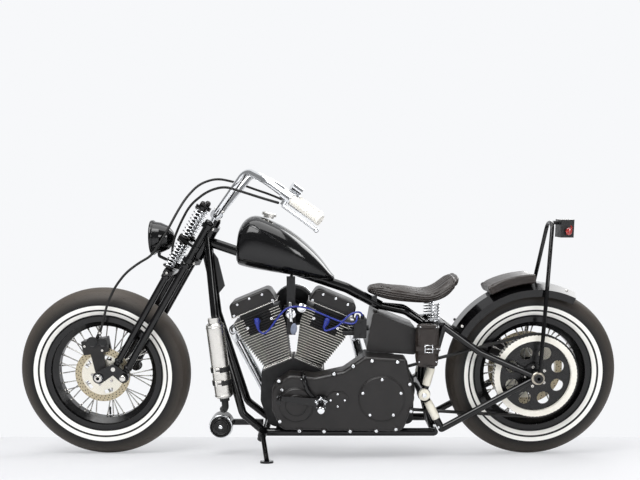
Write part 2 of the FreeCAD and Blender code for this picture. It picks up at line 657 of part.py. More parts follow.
def wire_wheel(name, axle, hub_radius, flange_radius, hub_half_length):
    """Drop-centre rim, hub with two flanges and forty laced spokes, made one."""
    seat = d.bead_radius - d.seat_gap
    inside = seat - d.rim_wall
    lip_inner = d.bead_half_width + d.seat_gap
    lip_outer = lip_inner + d.rim_lip
    lip_top = d.bead_radius + d.rim_lip_height
    well, well_inside = d.rim_well_radius, d.rim_well_radius - d.rim_wall
    slope = lip_inner - d.rim_seat_width
    half = [(lip_top, lip_inner), (seat, lip_inner), (seat, slope), (well, d.rim_well_half_width)]
    under = [(well_inside, d.rim_well_half_width), (inside, slope), (inside, lip_outer), (lip_top, lip_outer)]
    outline = half + [(r, -t) for r, t in reversed(half)]
    outline += [(r, -t) for r, t in reversed(under)] + under
    rim = turned(name + "_rim", outline)
    flange_in, flange_out = d.hub_flange_place, d.hub_flange_place + d.hub_flange
    bore = d.axle_radius + d.axle_fit
    half = [(hub_radius, flange_in), (flange_radius, flange_in), (flange_radius, flange_out),
            (hub_radius, flange_out), (hub_radius, hub_half_length), (bore, hub_half_length)]
    hub = turned(name + "_hub", half + [(r, -t) for r, t in reversed(half)])
    spokes = []
    count = 20
    hole = flange_radius - d.spoke_hole_inset
    for side in (LEFT, RIGHT):
        for index in range(count):
            foot = 2 * math.pi * (index + (0.25 if side == RIGHT else -0.25)) / count
            lean = 2 * math.pi * (1.9 if index % 2 else -1.9) / count
            share = SPOKE_ROW_SHARES[index % 2]
            start = Vector(hole * math.cos(foot), hole * math.sin(foot),
                           side * (flange_in + d.hub_flange * share))
            middle = d.rim_well_radius - d.rim_wall / 2
            end = Vector(middle * math.cos(foot + lean), middle * math.sin(foot + lean),
                         side * d.spoke_foot_half_width)
            spokes.append(rod(f"{name}_spoke", start, end, d.spoke_radius))
    publish(name, [rim, hub] + spokes, sideways(axle.x, axle.z))


def brake_disc(name, axle, radius, side, hub_half_length):
    """Drilled rotor ring on a slotted carrier, bolted to the hub's end."""
    near = hub_half_length + d.seat_gap
    body = doc.addObject("PartDesign::Body", name)
    sketch = body.newObject("Sketcher::SketchObject", "ring")
    sketch.AttachmentSupport = (origin_plane(body, "XY_Plane"), [""])
    sketch.MapMode = "FlatFace"
    for ring_radius in (radius, d.disc_bore):
        index = sketch.addGeometry(Part.Circle(Vector(), ALONG_Z, float(ring_radius)), False)
        sketch.addConstraint(Sketcher.Constraint("Coincident", index, 3, -1, 1))
        place = sketch.addConstraint(Sketcher.Constraint("Radius", index, float(ring_radius)))
        sketch.setExpression(f"Constraints[{place}]", ring_radius.text)
    pad = body.newObject("PartDesign::Pad", "rotor")
    pad.Profile = sketch
    bind(pad, "Length", d.disc_thickness)
    doc.recompute()
    slot_radius = radius - d.disc_ring_width - d.disc_slot_width
    slots = body.newObject("Sketcher::SketchObject", "slot")
    slots.AttachmentSupport = (origin_plane(body, "XY_Plane"), [""])
    slots.MapMode = "FlatFace"
    half, wide = d.disc_slot_length / 2, d.disc_slot_width / 2
    corners = [(slot_radius - wide, -half), (slot_radius + wide, -half),
               (slot_radius + wide, half), (slot_radius - wide, half)]
    for index, (x, y) in enumerate(corners):
        after = corners[(index + 1) % len(corners)]
        slots.addGeometry(Part.LineSegment(Vector(x, y, 0), Vector(after[0], after[1], 0)), False)
    for index, (x, y) in enumerate(corners):
        slots.addConstraint(Sketcher.Constraint("Coincident", index, 2, (index + 1) % len(corners), 1))
        for kind, value in (("DistanceX", x), ("DistanceY", y)):
            place = slots.addConstraint(Sketcher.Constraint(kind, -1, 1, index, 1, float(value)))
            slots.setExpression(f"Constraints[{place}]", value.text)
    pocket = body.newObject("PartDesign::Pocket", "slots")
    pocket.Profile = slots
    pocket.Type = "ThroughAll"
    pocket.Midplane = True
    doc.recompute()
    pattern = body.newObject("PartDesign::PolarPattern", "slot_ring")
    pattern.Originals = [pocket]
    pattern.Axis = (sketch, ["N_Axis"])
    pattern.Angle = 360
    pattern.Occurrences = 5
    body.Tip = pattern
    start = near if side == RIGHT else -near - d.disc_thickness
    body.Placement = sideways(axle.x, axle.z, start)
    doc.recompute()
    publish(name, [body])


def rear_pulley():
    """Toothed belt pulley: ring, web with eight round openings and hub seat."""
    near, far = d.pulley_place, d.pulley_place + d.pulley_width
    web_near = near + (d.pulley_width - d.pulley_web) / 2
    web_far = web_near + d.pulley_web
    ring_inside = d.pulley_radius - d.pulley_ring
    hub = d.rear_hub_flange_radius
    bore = d.axle_radius + d.axle_fit
    outline = [
        (bore, near), (hub, near), (hub, web_near), (ring_inside, web_near), (ring_inside, near),
        (d.pulley_radius, near), (d.pulley_radius, far), (ring_inside, far), (ring_inside, web_far),
        (hub, web_far), (hub, far), (bore, far),
    ]
    wheel = turned("pulley_wheel", outline)
    holes = []
    for index in range(8):
        angle = 2 * math.pi * (index + 0.5) / 8
        x, y = d.pulley_hole_place * math.cos(angle), d.pulley_hole_place * math.sin(angle)
        holes.append(rod("pulley_hole", (x, y, near), (x, y, far), d.pulley_hole_radius))
    place = Placement(rear_axle, Rotation(ALONG_Z, -ALONG_Y))
    publish("rear_pulley", [cut("pulley_cut", wheel, holes)], place)


def drive_belt():
    """Belt loop round the gearbox sprocket and the wheel pulley."""
    near = d.pulley_place + (d.pulley_width - d.belt_width) / 2
    loops = []
    for grow in (d.belt_fit, d.belt_fit + d.belt_thickness):
        loops.append(linked_plate("belt_loop", [
            (d.sprocket_x, d.sprocket_z, d.sprocket_radius + grow),
            (rear_axle.x, rear_axle.z, d.pulley_radius + grow),
        ], -near - d.belt_width, -near))
    publish("drive_belt", [cut("belt_cut", loops[1], [loops[0]])])


def front_axle_bar():
    """Hollow axle through the hub, with a nut outside each rocker."""
    outside = d.leg_side + d.rear_leg_radius + d.seat_gap + d.rocker_thickness
    bar = across("axle_bar", 0, 0, -outside, outside, d.axle_radius)
    nuts = [across("axle_nut", 0, 0, side * (outside + d.seat_gap), side * (outside + d.nut_length), d.nut_radius)
            for side in (LEFT, RIGHT)]
    ends = across("axle_ends", 0, 0, -outside - d.nut_length, outside + d.nut_length, d.axle_radius)
    bore = across("axle_bore", 0, 0, -outside - d.nut_length - d.overrun,
                  outside + d.nut_length + d.overrun, d.axle_bore_radius)
    publish("front_axle", [cut("axle_cut", fused("axle_solid", [bar, ends] + nuts), [bore])], FORK)


# Springer fork, drawn in the fork's own frame: X aft, Y side, Z up the steering axis
def rockers():
    """Pair of rocker plates from the rear legs' pivots past the front legs to the axle."""
    near = d.leg_side + d.rear_leg_radius + d.seat_gap
    far = near + d.rocker_thickness
    sides = []
    for side in (LEFT, RIGHT):
        low, high = sorted((side * near, side * far))
        link = linked_plate("rocker_link", [
            (d.rear_pivot_aft, d.rear_pivot_up, d.rocker_pivot_radius),
            (d.front_leg_aft, d.front_leg_low_up, d.rocker_mid_radius),
            (0, 0, d.rocker_axle_radius),
        ], low, high)
        hole = across("rocker_bore", 0, 0, low - d.overrun, high + d.overrun, d.axle_radius + d.seat_gap)
        caps = [across("rocker_cap", aft, up, side * far, side * (far + d.nut_length), d.nut_radius)
                for aft, up in ((d.rear_pivot_aft, d.rear_pivot_up), )]
        sides.append(cut("rocker_side", fused("rocker_solid", [link] + caps), [hole]))
    publish("rockers", sides, FORK, apart=True)


def rear_legs():
    """Rigid rear legs from the rocker pivots up to the crown."""
    legs = []
    for side in (LEFT, RIGHT):
        y = side * d.leg_side
        eye = across("rear_leg_eye", d.rear_pivot_aft, d.rear_pivot_up, y - d.eye_half_width,
                     y + d.eye_half_width, d.leg_eye_radius)
        tube = rod("rear_leg_tube", (d.rear_leg_aft, y, d.rear_pivot_up),
                   (d.rear_leg_aft, y, d.rear_leg_top), d.rear_leg_radius)
        legs.append(fused("rear_leg", [eye, tube]))
    publish("rear_legs", legs, FORK, apart=True)


def front_legs():
    """Sprung front legs, the yoke across their tops and the two spring rods."""
    parts = []
    inside = d.front_leg_top + d.yoke_height / 2
    for side in (LEFT, RIGHT):
        y = side * d.leg_side
        parts.append(across("front_leg_eye", d.front_leg_aft, d.front_leg_low_up,
                            y - d.eye_half_width, y + d.eye_half_width, d.leg_eye_radius))
        parts.append(rod("front_leg_tube", (d.front_leg_aft, y, d.front_leg_low_up),
                         (d.front_leg_aft, y, inside), d.front_leg_radius))
        parts.append(rod("spring_rod", (d.rod_aft, side * d.rod_side, inside),
                         (d.rod_aft, side * d.rod_side, d.rod_top), d.rod_radius))
        parts.append(rod("rod_nut", (d.rod_aft, side * d.rod_side, d.rod_top - d.spring_cap_height),
                         (d.rod_aft, side * d.rod_side, d.rod_top), d.spring_seat_radius))
    wide = d.leg_side + d.front_leg_radius + d.yoke_margin
    aft = d.front_leg_aft + d.front_leg_radius + d.yoke_margin - d.yoke_depth
    parts.append(box("front_yoke", (aft, -wide, d.front_leg_top), d.yoke_depth, wide * 2, d.yoke_height))
    publish("front_legs", parts, FORK)


def triple_clamps():
    """Crown, stem, top clamp and the fixed spring perch between the springs."""
    parts = []
    top = d.top_clamp_up + d.top_clamp_height
    slabs = [(d.rear_leg_top, d.crown_height), (d.top_clamp_up, d.top_clamp_height)]
    for low, height in slabs:
        slab = linked_plate("clamp_slab", [
            (d.rear_leg_aft, -d.leg_side, d.leg_boss_radius), (d.fork_offset, 0, d.crown_radius),
            (d.rear_leg_aft, d.leg_side, d.leg_boss_radius)], -low - height, -low, LYING)
        parts.append(slab)
    low, high = d.perch_up, d.perch_up + d.perch_height
    for side in (LEFT, RIGHT):
        parts.append(rod("clamp_stud", (d.rear_leg_aft, side * d.leg_side, d.rear_leg_top),
                         (d.rear_leg_aft, side * d.leg_side, top), d.rear_leg_radius))
        arm = linked_plate("perch_arm", [
            (d.rear_leg_aft, side * d.leg_side, d.leg_boss_radius),
            (d.rod_aft, side * d.rod_side, d.spring_seat_radius)], -high, -low, LYING)
        parts.append(arm)
    half = d.spring_seat_radius / 2
    parts.append(linked_plate("perch_bridge", [(d.rod_aft, -d.rod_side, half), (d.rod_aft, d.rod_side, half)],
                              -high, -low, LYING))
    parts.append(rod("stem", (d.fork_offset, 0, d.rear_leg_top), (d.fork_offset, 0, top), d.stem_radius))
    parts.append(rod("stem_nut", (d.fork_offset, 0, top), (d.fork_offset, 0, top + d.stem_nut_height),
                     d.stem_nut_radius))
    solid = fused("clamps_solid", parts)
    holes = [rod("perch_hole", (d.rod_aft, side * d.rod_side, low - d.overrun),
                 (d.rod_aft, side * d.rod_side, high + d.overrun), d.rod_radius + d.stem_fit)
             for side in (LEFT, RIGHT)]
    publish("triple_clamps", [cut("clamps_cut", solid, holes)], FORK)


def fork_springs():
    """Two coil springs on each rod, below and above the perch."""
    springs = []
    spans = [(d.front_leg_top + d.yoke_height, d.perch_up),
             (d.perch_up + d.perch_height, d.rod_top - d.spring_cap_height)]
    for side in (LEFT, RIGHT):
        for low, high in spans:
            springs.append(coil("fork_spring", (d.rod_aft, side * d.rod_side, low + d.seat_gap),
                                (d.rod_aft, side * d.rod_side, high - d.seat_gap),
                                d.spring_radius, d.spring_wire_radius, d.spring_turns))
    publish("fork_springs", springs, FORK, apart=True)


def bar_points(side):
    """Corners of one half of the handlebar, from its foot to its end."""
    return [(d.bar_foot_aft, side * d.bar_foot_side, d.bar_foot_up),
            (d.bar_top_aft, side * d.bar_top_side, d.bar_top_up),
            (d.bar_turn_aft, side * d.bar_turn_side, d.bar_turn_up),
            (d.bar_end_aft, side * d.bar_end_side, d.bar_end_up)]


def handlebar():
    """Tall one-piece bar on two risers with clamps."""
    route = bar_points(LEFT)[::-1] + bar_points(RIGHT)
    bends = [d.bar_bend, d.bar_bend, d.bar_foot_side / 2, d.bar_foot_side / 2, d.bar_bend, d.bar_bend]
    path = run_and_arc(route, bends)
    start, heading = Vector(*route[0]), Vector(*route[1]) - Vector(*route[0])
    bar = doc.addObject("Part::Feature", "bar_tube")
    bar.Shape = path.makePipe(Part.Face(Part.Wire(Part.makeCircle(d.bar_radius, start, heading))))
    parts = [bar]
    top = d.top_clamp_up + d.top_clamp_height
    grip = d.bar_foot_side * 0.62
    for side in (LEFT, RIGHT):
        middle = side * grip
        parts.append(rod("riser", (d.bar_foot_aft, middle, top + d.seat_gap),
                         (d.bar_foot_aft, middle, d.bar_foot_up), d.riser_radius / 2))
        parts.append(rod("riser_clamp", (d.bar_foot_aft, middle - d.clamp_length / 4, d.bar_foot_up),
                         (d.bar_foot_aft, middle + d.clamp_length / 4, d.bar_foot_up), d.clamp_radius))
    publish("handlebar", parts, FORK)


def grip_line(side):
    """Start of the straight end of the bar and its outward direction."""
    points = [Vector(*point) for point in bar_points(side)]
    return points[3], (points[3] - points[2]).normalize()


def grips():
    """Turned hand grips on the bar ends."""
    sleeves = []
    for side in (LEFT, RIGHT):
        end, outward = grip_line(side)
        inner = end - outward * d.grip_length
        bore = d.bar_radius + d.seat_gap
        past = d.overrun
        outline = [(bore, 0), (d.grip_radius, 0), (d.grip_radius, d.grip_length - d.grip_end_length),
                   (d.grip_end_radius, d.grip_length - d.grip_end_length),
                   (d.grip_end_radius, d.grip_length + past), (0, d.grip_length + past),
                   (0, d.grip_length + d.seat_gap), (bore, d.grip_length + d.seat_gap)]
        sleeves.append(turned("grip", outline, Placement(inner, Rotation(ALONG_Z, outward))))
    publish("grips", sleeves, FORK, apart=True)


def hand_controls():
    """Clutch and brake perches with their levers, and the brake reservoir."""
    groups = []
    for side in (LEFT, RIGHT):
        end, outward = grip_line(side)
        outer = end - outward * (d.grip_length + d.seat_gap)
        inner = outer - outward * d.control_length
        ring = rod("perch_ring", inner, outer, d.control_radius)
        hole = rod("perch_ring_hole", inner - outward * d.overrun, outer + outward * d.overrun,
                   d.bar_radius + d.seat_gap)
        drop = Vector(0, 0, -d.lever_drop)
        pivot = inner + outward * (d.control_length / 2) + drop
        root = inner + outward * (d.control_length / 2) + drop.normalize() * d.control_radius * 0.8
        tip = pivot + outward * d.lever_reach
        parts = [ring, rod("perch_arm", root, pivot, d.control_radius / 2),
                 rod("lever", pivot, tip, d.lever_radius)]
        knob = doc.addObject("Part::Sphere", "lever_knob")
        bind(knob, "Radius", d.lever_knob_radius)
        knob.Placement = Placement(tip, Rotation())
        parts.append(knob)
        if side == RIGHT:
            start = inner + Vector(0, 0, d.reservoir_radius + d.control_radius * 0.8)
            start -= outward * (d.reservoir_length - d.control_length)
            parts.append(rod("reservoir", start, start + outward * d.reservoir_length, d.reservoir_radius))
        groups.append(cut("control", fused("control_solid", parts), [hole]))
    publish("hand_controls", groups, FORK, apart=True)


def hand_cables():
    """Brake hose down to the caliper, and clutch cable to the fork's crown."""
    r = d.cable_radius
    publish("brake_hose", [cable("hose", HOSE_ROUTE, r)], FORK)
    publish("clutch_cable", [cable("cable", CLUTCH_ROUTE, r)], FORK)


def headlamp():
    """Bullet lamp shell on a bracket from the crown, and its domed lens."""
    forward = Placement(fork_point(d.lamp_aft, 0, d.lamp_up), Rotation(ALONG_Z, ALONG_X))
    radius, wall = d.lamp_radius, d.lamp_wall
    mouth = radius - wall
    outline = [(mouth, 0), (d.lamp_rim_radius, 0), (d.lamp_rim_radius, d.lamp_rim), (radius, d.lamp_rim),
               (radius * 0.94, d.lamp_depth * 0.42), (radius * 0.72, d.lamp_depth * 0.76),
               (radius * 0.36, d.lamp_depth * 0.96), (0, d.lamp_depth), (0, d.lamp_depth - wall),
               (radius * 0.34, d.lamp_depth * 0.9), (mouth * 0.70, d.lamp_depth * 0.7),
               (mouth * 0.92, d.lamp_depth * 0.4), (mouth, d.lamp_rim)]
    shell = turned("lamp_shell", outline, forward)
    stay = bent_tube("lamp_stay", [
        fork_point(d.lamp_stay_aft, 0, d.rear_leg_top - d.overrun),
        fork_point(d.lamp_stay_turn_aft, 0, d.lamp_stay_turn_up),
        fork_point(d.lamp_stay_front_aft, 0, d.lamp_stay_front_up),
        fork_point(d.lamp_stay_end_aft, 0, d.lamp_stay_end_up)], d.lamp_stay_radius, d.lamp_stay_bend)
    publish("headlamp", [shell, stay])
    glass = mouth - d.seat_gap
    bulge = (glass * glass + d.lens_bulge * d.lens_bulge) / (2 * d.lens_bulge)
    lens = [(0, d.lamp_rim / 2), (glass, d.lamp_rim / 2), (glass, 0, -bulge), (0, -d.lens_bulge)]
    publish("headlamp_lens", [turned("lens", lens, forward)])


def front_brake():
    """Caliper over the disc's edge, on an arm from the axle."""
    side_near, side_far = -d.brake_arm_side, -d.brake_arm_side - d.brake_arm
    arm = linked_plate("brake_arm", [(0, 0, d.brake_arm_radius),
                                     (d.caliper_aft, d.caliper_up, d.caliper_radius)], side_far, side_near)
    angle = math.degrees(math.atan2(d.caliper_up, d.caliper_aft))
    place = Placement(Vector(d.caliper_aft, 0, d.caliper_up), Rotation(ALONG_Y, 90 - angle))
    block = box("caliper_block", (-d.caliper_length / 2, -d.caliper_outer, -d.caliper_width / 2),
                d.caliper_length, d.caliper_outer - d.caliper_inner, d.caliper_width)
    rotor = d.hub_half_length + d.seat_gap + d.disc_thickness
    depth = d.disc_radius + d.running_gap - math.hypot(d.caliper_aft, d.caliper_up) + d.caliper_width / 2
    slot = box("caliper_slot",
               (-d.caliper_length / 2 - d.overrun, -rotor - d.running_gap, -d.caliper_width / 2 - d.overrun),
               d.caliper_length + d.overrun * 2, d.disc_thickness + d.running_gap * 2, depth + d.overrun)
    for piece in (block, slot):
        piece.Placement = place.multiply(piece.Placement)
    caliper = cut("caliper", block, [slot])
    hole = across("brake_arm_hole", 0, 0, side_far - d.overrun, side_near + d.overrun, d.axle_radius + d.seat_gap)
    publish("front_brake", [cut("front_brake_cut", fused("front_brake_solid", [arm, caliper]), [hole])], FORK)


def seat_underside(x, y):
    """Height of the seat's underside at a place."""
    line = Part.makeLine(Vector(x, y, 0), Vector(x, y, d.seat_z + d.seat_height))
    return seat.Shape.common(line).BoundBox.ZMin


# Frame and swingarm
def frame():
    """Steering neck, backbone, two downtubes into bottom rails, rear posts, cross tubes and brackets."""
    neck_low = fork_point(d.fork_offset, 0, d.neck_up)
    neck_high = fork_point(d.fork_offset, 0, d.neck_up + d.neck_length)
    head = fork_point(d.fork_offset, 0, d.backbone_up)
    parts = [rod("neck", neck_low, neck_high, d.neck_radius)]
    parts.append(bent_tube("backbone", [head, (d.backbone_x, 0, d.backbone_z),
                                        (d.backbone_end_x, 0, d.backbone_end_z)],
                           d.backbone_radius, d.tube_bend))
    start = fork_point(d.fork_offset, 0, d.down_up)
    for side in (LEFT, RIGHT):
        parts.append(bent_tube("downtube", [
            (start.x, side * d.down_side, start.z), (d.down_mid_x, side * d.down_mid_y, d.down_mid_z),
            (d.down_low_x, side * d.down_low_y, d.down_low_z), (d.rail_front_x, side * d.rail_y, d.rail_z),
            (d.rail_rear_x, side * d.rail_y, d.rail_z)], d.main_tube_radius, d.tube_bend * 0.6))
        parts.append(bent_tube("post", [
            (d.cross_rear_x, side * d.post_y, d.rail_z), (d.post_x, side * d.post_y, d.post_z),
            (d.post_top_x, side * d.post_y, d.post_top_z)], d.post_radius, d.tube_bend))
        parts.append(bent_tube("seat_rail", [
            (d.post_top_x, side * d.post_y, d.post_top_z), (d.seat_rail_x, side * d.seat_rail_y, d.seat_rail_z),
            (d.backbone_end_x, 0, d.backbone_end_z)], d.post_radius, d.tube_bend * 0.5))
        parts.append(rod("oil_lug", (d.post_top_x, side * d.post_y, d.oil_lug_z),
                         (d.oil_lug_x, side * d.post_y, d.oil_lug_z), d.oil_lug_radius))
        near = min(side * d.spring_plate_y, side * (d.spring_plate_y + d.spring_plate_width))
        parts.append(box("spring_plate", (d.spring_plate_x, near, d.post_top_z), d.spring_plate_length,
                         d.spring_plate_width, d.seat_spring_foot_z - d.seat_gap - d.post_top_z))
    for name, x, z, y in (("front_cross", d.cross_front_x, d.rail_z, d.rail_y),
                          ("rear_cross", d.cross_rear_x, d.rail_z, d.rail_y),
                          ("top_cross", d.post_top_x, d.post_top_z, d.top_cross_y),
                          ("pivot_tube", d.pivot_x, d.pivot_z, d.pivot_side)):
        radius = d.pivot_tube_radius if name == "pivot_tube" else d.post_radius
        parts.append(across(name, x, z, -y, y, radius))
    for x, under in ((d.bed_front_x, d.crank_z - d.crankcase_drop), (d.bed_rear_x, d.gearbox_z)):
        low = d.rail_z - d.bed_drop
        parts.append(box("engine_bed", (x, -d.rail_y, low), d.bed_length, d.rail_y * 2, under - d.seat_gap - low))
    gusset = plate("neck_gusset", [
        tuple(fork_point(d.fork_offset, 0, d.gusset_up))[::2], (head.x, head.z),
        (d.gusset_top_x, d.gusset_top_z), (d.gusset_mid_x, d.gusset_mid_z),
        (d.gusset_back_x, d.gusset_back_z), (d.gusset_low_x, d.gusset_low_z)],
        -d.neck_gusset / 2, d.neck_gusset / 2)
    parts.append(gusset)
    nose = d.nose_bracket_x + d.nose_bracket_length
    under = seat_underside(nose, 0) - d.seat_gap
    parts.append(box("nose_bracket", (d.nose_bracket_x, -d.nose_bracket_width / 2, d.backbone_end_z),
                     d.nose_bracket_length, d.nose_bracket_width, under - d.backbone_end_z))
    pivot, axis = Vector(d.stand_x, -d.stand_y, d.stand_z), stand_turn()
    face = d.stand_boss / 2 + d.stand_gap
    ear = [pivot - axis * (face + d.stand_ear), pivot - axis * face]
    parts.append(rod("stand_ear", *ear, d.stand_ear_radius))
    parts.append(rod("stand_pin", ear[0], pivot + axis * face, d.stand_pin_radius))
    parts.append(rod("stand_bar", (ear[0] + ear[1]) * 0.5, (d.stand_x, -d.rail_y, d.rail_z), d.stand_bar_radius))
    solid = fused("frame_solid", parts)
    along = (neck_high - neck_low).normalize() * d.overrun
    bore = rod("neck_bore", neck_low - along, neck_high + along, d.stem_radius + d.stem_fit)
    publish("frame", [cut("frame_cut", solid, [bore])])


def swingarm():
    """Triangulated swingarm: two legs a side from the top and low corners to the axle."""
    parts = []
    for side in (LEFT, RIGHT):
        y = side * d.arm_side
        upper = bent_tube("upper_arm", [(d.arm_top_x, y, d.arm_top_z), (d.arm_mid_x, y, d.arm_mid_z),
                                        (rear_axle.x, y, rear_axle.z)], d.arm_radius, d.tube_bend)
        lower = rod("lower_arm", (d.arm_low_x, y, d.arm_low_z), (rear_axle.x, y, rear_axle.z), d.arm_radius)
        front = bent_tube("front_arm", [(d.arm_top_x, y, d.arm_top_z), (d.pivot_x, y, d.pivot_z),
                                        (d.arm_low_x, y, d.arm_low_z)], d.arm_radius, d.arm_radius)
        boss = across("axle_boss", rear_axle.x, rear_axle.z, y - d.axle_boss / 2, y + d.axle_boss / 2,
                      d.axle_boss_radius)
        pivot = across("arm_boss", d.pivot_x, d.pivot_z, y - d.arm_radius, y + d.arm_radius, d.arm_boss_radius)
        cap = across("pivot_cap", d.pivot_x, d.pivot_z, y + side * d.arm_radius,
                     y + side * (d.arm_radius + d.pivot_cap), d.pivot_cap_radius)
        parts += [upper, lower, front, boss, pivot, cap]
    for x, z in ((d.arm_top_x, d.arm_top_z), (d.arm_low_x, d.arm_low_z)):
        parts.append(across("arm_cross", x, z, -d.arm_side, d.arm_side, d.arm_radius))
    top = Vector(d.arm_top_x, 0, d.arm_top_z)
    outward = (top - rear_axle).normalize()
    crown = d.tyre_radius + d.fender_gap + d.fender_sheet + d.seat_gap
    parts.append(rod("fender_lug", top, rear_axle + outward * crown, d.fender_lug_radius))
    solid = fused("swingarm_solid", parts)
    wide = d.arm_side + d.axle_boss
    bore = across("axle_passage", rear_axle.x, rear_axle.z, -wide, wide, d.axle_radius + d.seat_gap)
    publish("swingarm", [cut("swingarm_cut", solid, [bore])])


def rear_axle_bar():
    """Hollow rear axle with a nut outside each swingarm boss."""
    outside = d.arm_side + d.axle_boss / 2 + d.seat_gap
    end = outside + d.rear_axle_nut
    x, z = rear_axle.x, rear_axle.z
    parts = [across("rear_bar", x, z, -end, end, d.axle_radius)]
    parts += [across("rear_nut", x, z, side * outside, side * end, d.rear_axle_nut_radius)
              for side in (LEFT, RIGHT)]
    bore = across("rear_bore", x, z, -end - d.overrun, end + d.overrun, d.axle_bore_radius)
    publish("rear_axle", [cut("rear_axle_cut", fused("rear_axle_solid", parts), [bore])])


def rear_brake():
    """Rear caliper over the disc on the right, on a bracket from the swingarm's boss."""
    near = d.arm_side - d.axle_boss / 2 - d.seat_gap
    x, z = rear_axle.x + d.rear_caliper_x, rear_axle.z + d.rear_caliper_z
    arm = linked_plate("rear_brake_arm", [(rear_axle.x, rear_axle.z, d.axle_boss_radius),
                                          (x, z, d.caliper_radius)], near - d.brake_arm, near)
    angle = math.degrees(math.atan2(d.rear_caliper_z, d.rear_caliper_x))
    place = Placement(Vector(x, 0, z), Rotation(ALONG_Y, 90 - angle))
    rotor = d.rear_hub_half_length + d.seat_gap
    inner = rotor - d.running_gap - d.disc_thickness * 2
    depth = (d.rear_disc_radius + d.running_gap - math.hypot(d.rear_caliper_x, d.rear_caliper_z)
             + d.caliper_width / 2)
    block = box("rear_caliper_block", (-d.caliper_length / 2, inner, -d.caliper_width / 2),
                d.caliper_length, near - inner, d.caliper_width)
    slot = box("rear_caliper_slot",
               (-d.caliper_length / 2 - d.overrun, rotor - d.running_gap, -d.caliper_width / 2 - d.overrun),
               d.caliper_length + d.overrun * 2, d.disc_thickness + d.running_gap * 2, depth + d.overrun)
    for piece in (block, slot):
        piece.Placement = place.multiply(piece.Placement)
    caliper = cut("rear_caliper", block, [slot])
    hole = across("rear_arm_hole", rear_axle.x, rear_axle.z, near - d.brake_arm - d.overrun, near + d.overrun,
                  d.axle_radius + d.seat_gap)
    publish("rear_brake", [cut("rear_brake_cut", fused("rear_brake_solid", [arm, caliper]), [hole])])


# Fuel tank
def fuel_tank():
    """High tank, tunnelled over the backbone, and its turned filler cap."""
    origin = Vector(d.tank_x, 0, d.tank_z)
    form = lofted("tank_form", TANK_SHARES, origin, d.tank_length, d.tank_half_width, d.tank_height)
    head = fork_point(d.fork_offset, 0, d.backbone_up)
    rise = d.backbone_radius + d.tank_tunnel_gap
    low = d.tank_height
    front, rear = Vector(head.x, 0, head.z), Vector(d.backbone_x, 0, d.backbone_z)
    slope = (rear.z - front.z) / (rear.x - front.x)
    half = Vector(0, d.tank_tunnel_half_width, 0)
    corners = [Vector(front.x, 0, front.z - low), Vector(rear.x + d.tank_length, 0, rear.z - low),
               Vector(rear.x + d.tank_length, 0, rear.z + rise + slope * d.tank_length),
               Vector(front.x, 0, front.z + rise)]
    side = Part.Face(Part.makePolygon([corner - half for corner in corners + corners[:1]]))
    tunnel = side.extrude(half * 2)
    form.Shape = form.Shape.cut(tunnel)
    publish("fuel_tank", [form])
    top = form.Shape.common(Part.makeLine(Vector(d.cap_x, 0, 0), Vector(d.cap_x, 0, d.tank_z * 2)))
    seat_z = top.BoundBox.ZMax + d.seat_gap
    tilt = Rotation(ALONG_Y, math.degrees(math.atan(0.22)))
    outline = [(0, 0), (d.cap_neck_radius, 0), (d.cap_neck_radius, d.cap_neck_height),
               (d.cap_radius, d.cap_neck_height), (d.cap_radius, d.cap_neck_height + d.cap_height * 0.7),
               (d.cap_radius * 0.8, d.cap_neck_height + d.cap_height), (0, d.cap_neck_height + d.cap_height)]
    lift = Vector(0, 0, d.cap_neck_radius * 0.22 + seat_z)
    publish("filler_cap", [turned("cap", outline, Placement(Vector(d.cap_x, 0, 0) + lift, tilt))])


# Engine
def crankcase():
    """Crankcase as one closed block, with the two cylinder decks at their angle."""
    tilt = math.radians(d.cylinder_angle)
    apex = d.deck / math.cos(tilt)
    end_x = d.deck * math.sin(tilt) + d.deck_half_length * math.cos(tilt)
    end_z = d.deck * math.cos(tilt) - d.deck_half_length * math.sin(tilt)
    x, z = d.crank_x, d.crank_z
    low = z - d.crankcase_drop
    wide = d.crankcase_radius
    corners = [(x, z + apex), (x - end_x, z + end_z), (x - wide, z, wide * 0.3),
               (x - wide * 0.72, low, wide * 0.3), (x + wide * 0.72, low, wide * 0.3),
               (x + wide, z, wide * 0.3), (x + end_x, z + end_z)]
    publish("crankcase", [plate("case", corners, -d.crankcase_half_width, d.crankcase_half_width)])


def cylinder(name, place):
    """One barrel and head with their stack of cooling fins, growing towards the head."""
    parts = [rod(name + "_barrel", (0, 0, d.deck + d.seat_gap), (0, 0, d.barrel_top), d.barrel_radius),
             box(name + "_head", (-d.head_half_length, -d.head_half_width, d.head_up),
                 d.head_half_length * 2, d.head_half_width * 2, d.barrel_top - d.head_up)]
    for index in range(int(d.fins)):
        up = d.fin_first + index * d.fin_pitch
        grown = min(index * d.fin_pitch / (d.head_up - d.fin_first), 1.0)
        length = d.fin_low_half_length + (d.fin_high_half_length - d.fin_low_half_length) * grown
        width = d.fin_low_half_width + (d.fin_high_half_width - d.fin_low_half_width) * grown
        parts.append(box(name + "_fin", (-length, -width, up), length * 2, width * 2, d.fin_thickness))
    parts.append(rod(name + "_plug", (0, -d.head_half_width, d.plug_up),
                     (0, -d.head_half_width - d.plug_length, d.plug_up), d.plug_radius))
    publish(name, parts, place)


def rocker_box(name, place):
    """Rocker box: a flanged lower half and a cover with rounded corners and top edges."""
    long, wide, corner = d.rocker_box_half_length, d.rocker_box_half_width, d.rocker_box_corner
    low = d.rocker_box_up
    high = low + d.rocker_box_height
    cover = plate(name + "_cover", [
        (-long, low, 0), (long, low, 0), (long - corner / 2, high, corner), (corner / 2 - long, high, corner)],
        -wide, wide)
    round_off(cover, face_edges(cover, -wide) + face_edges(cover, wide), d.rocker_box_edge)
    publish(name, [cover], place)


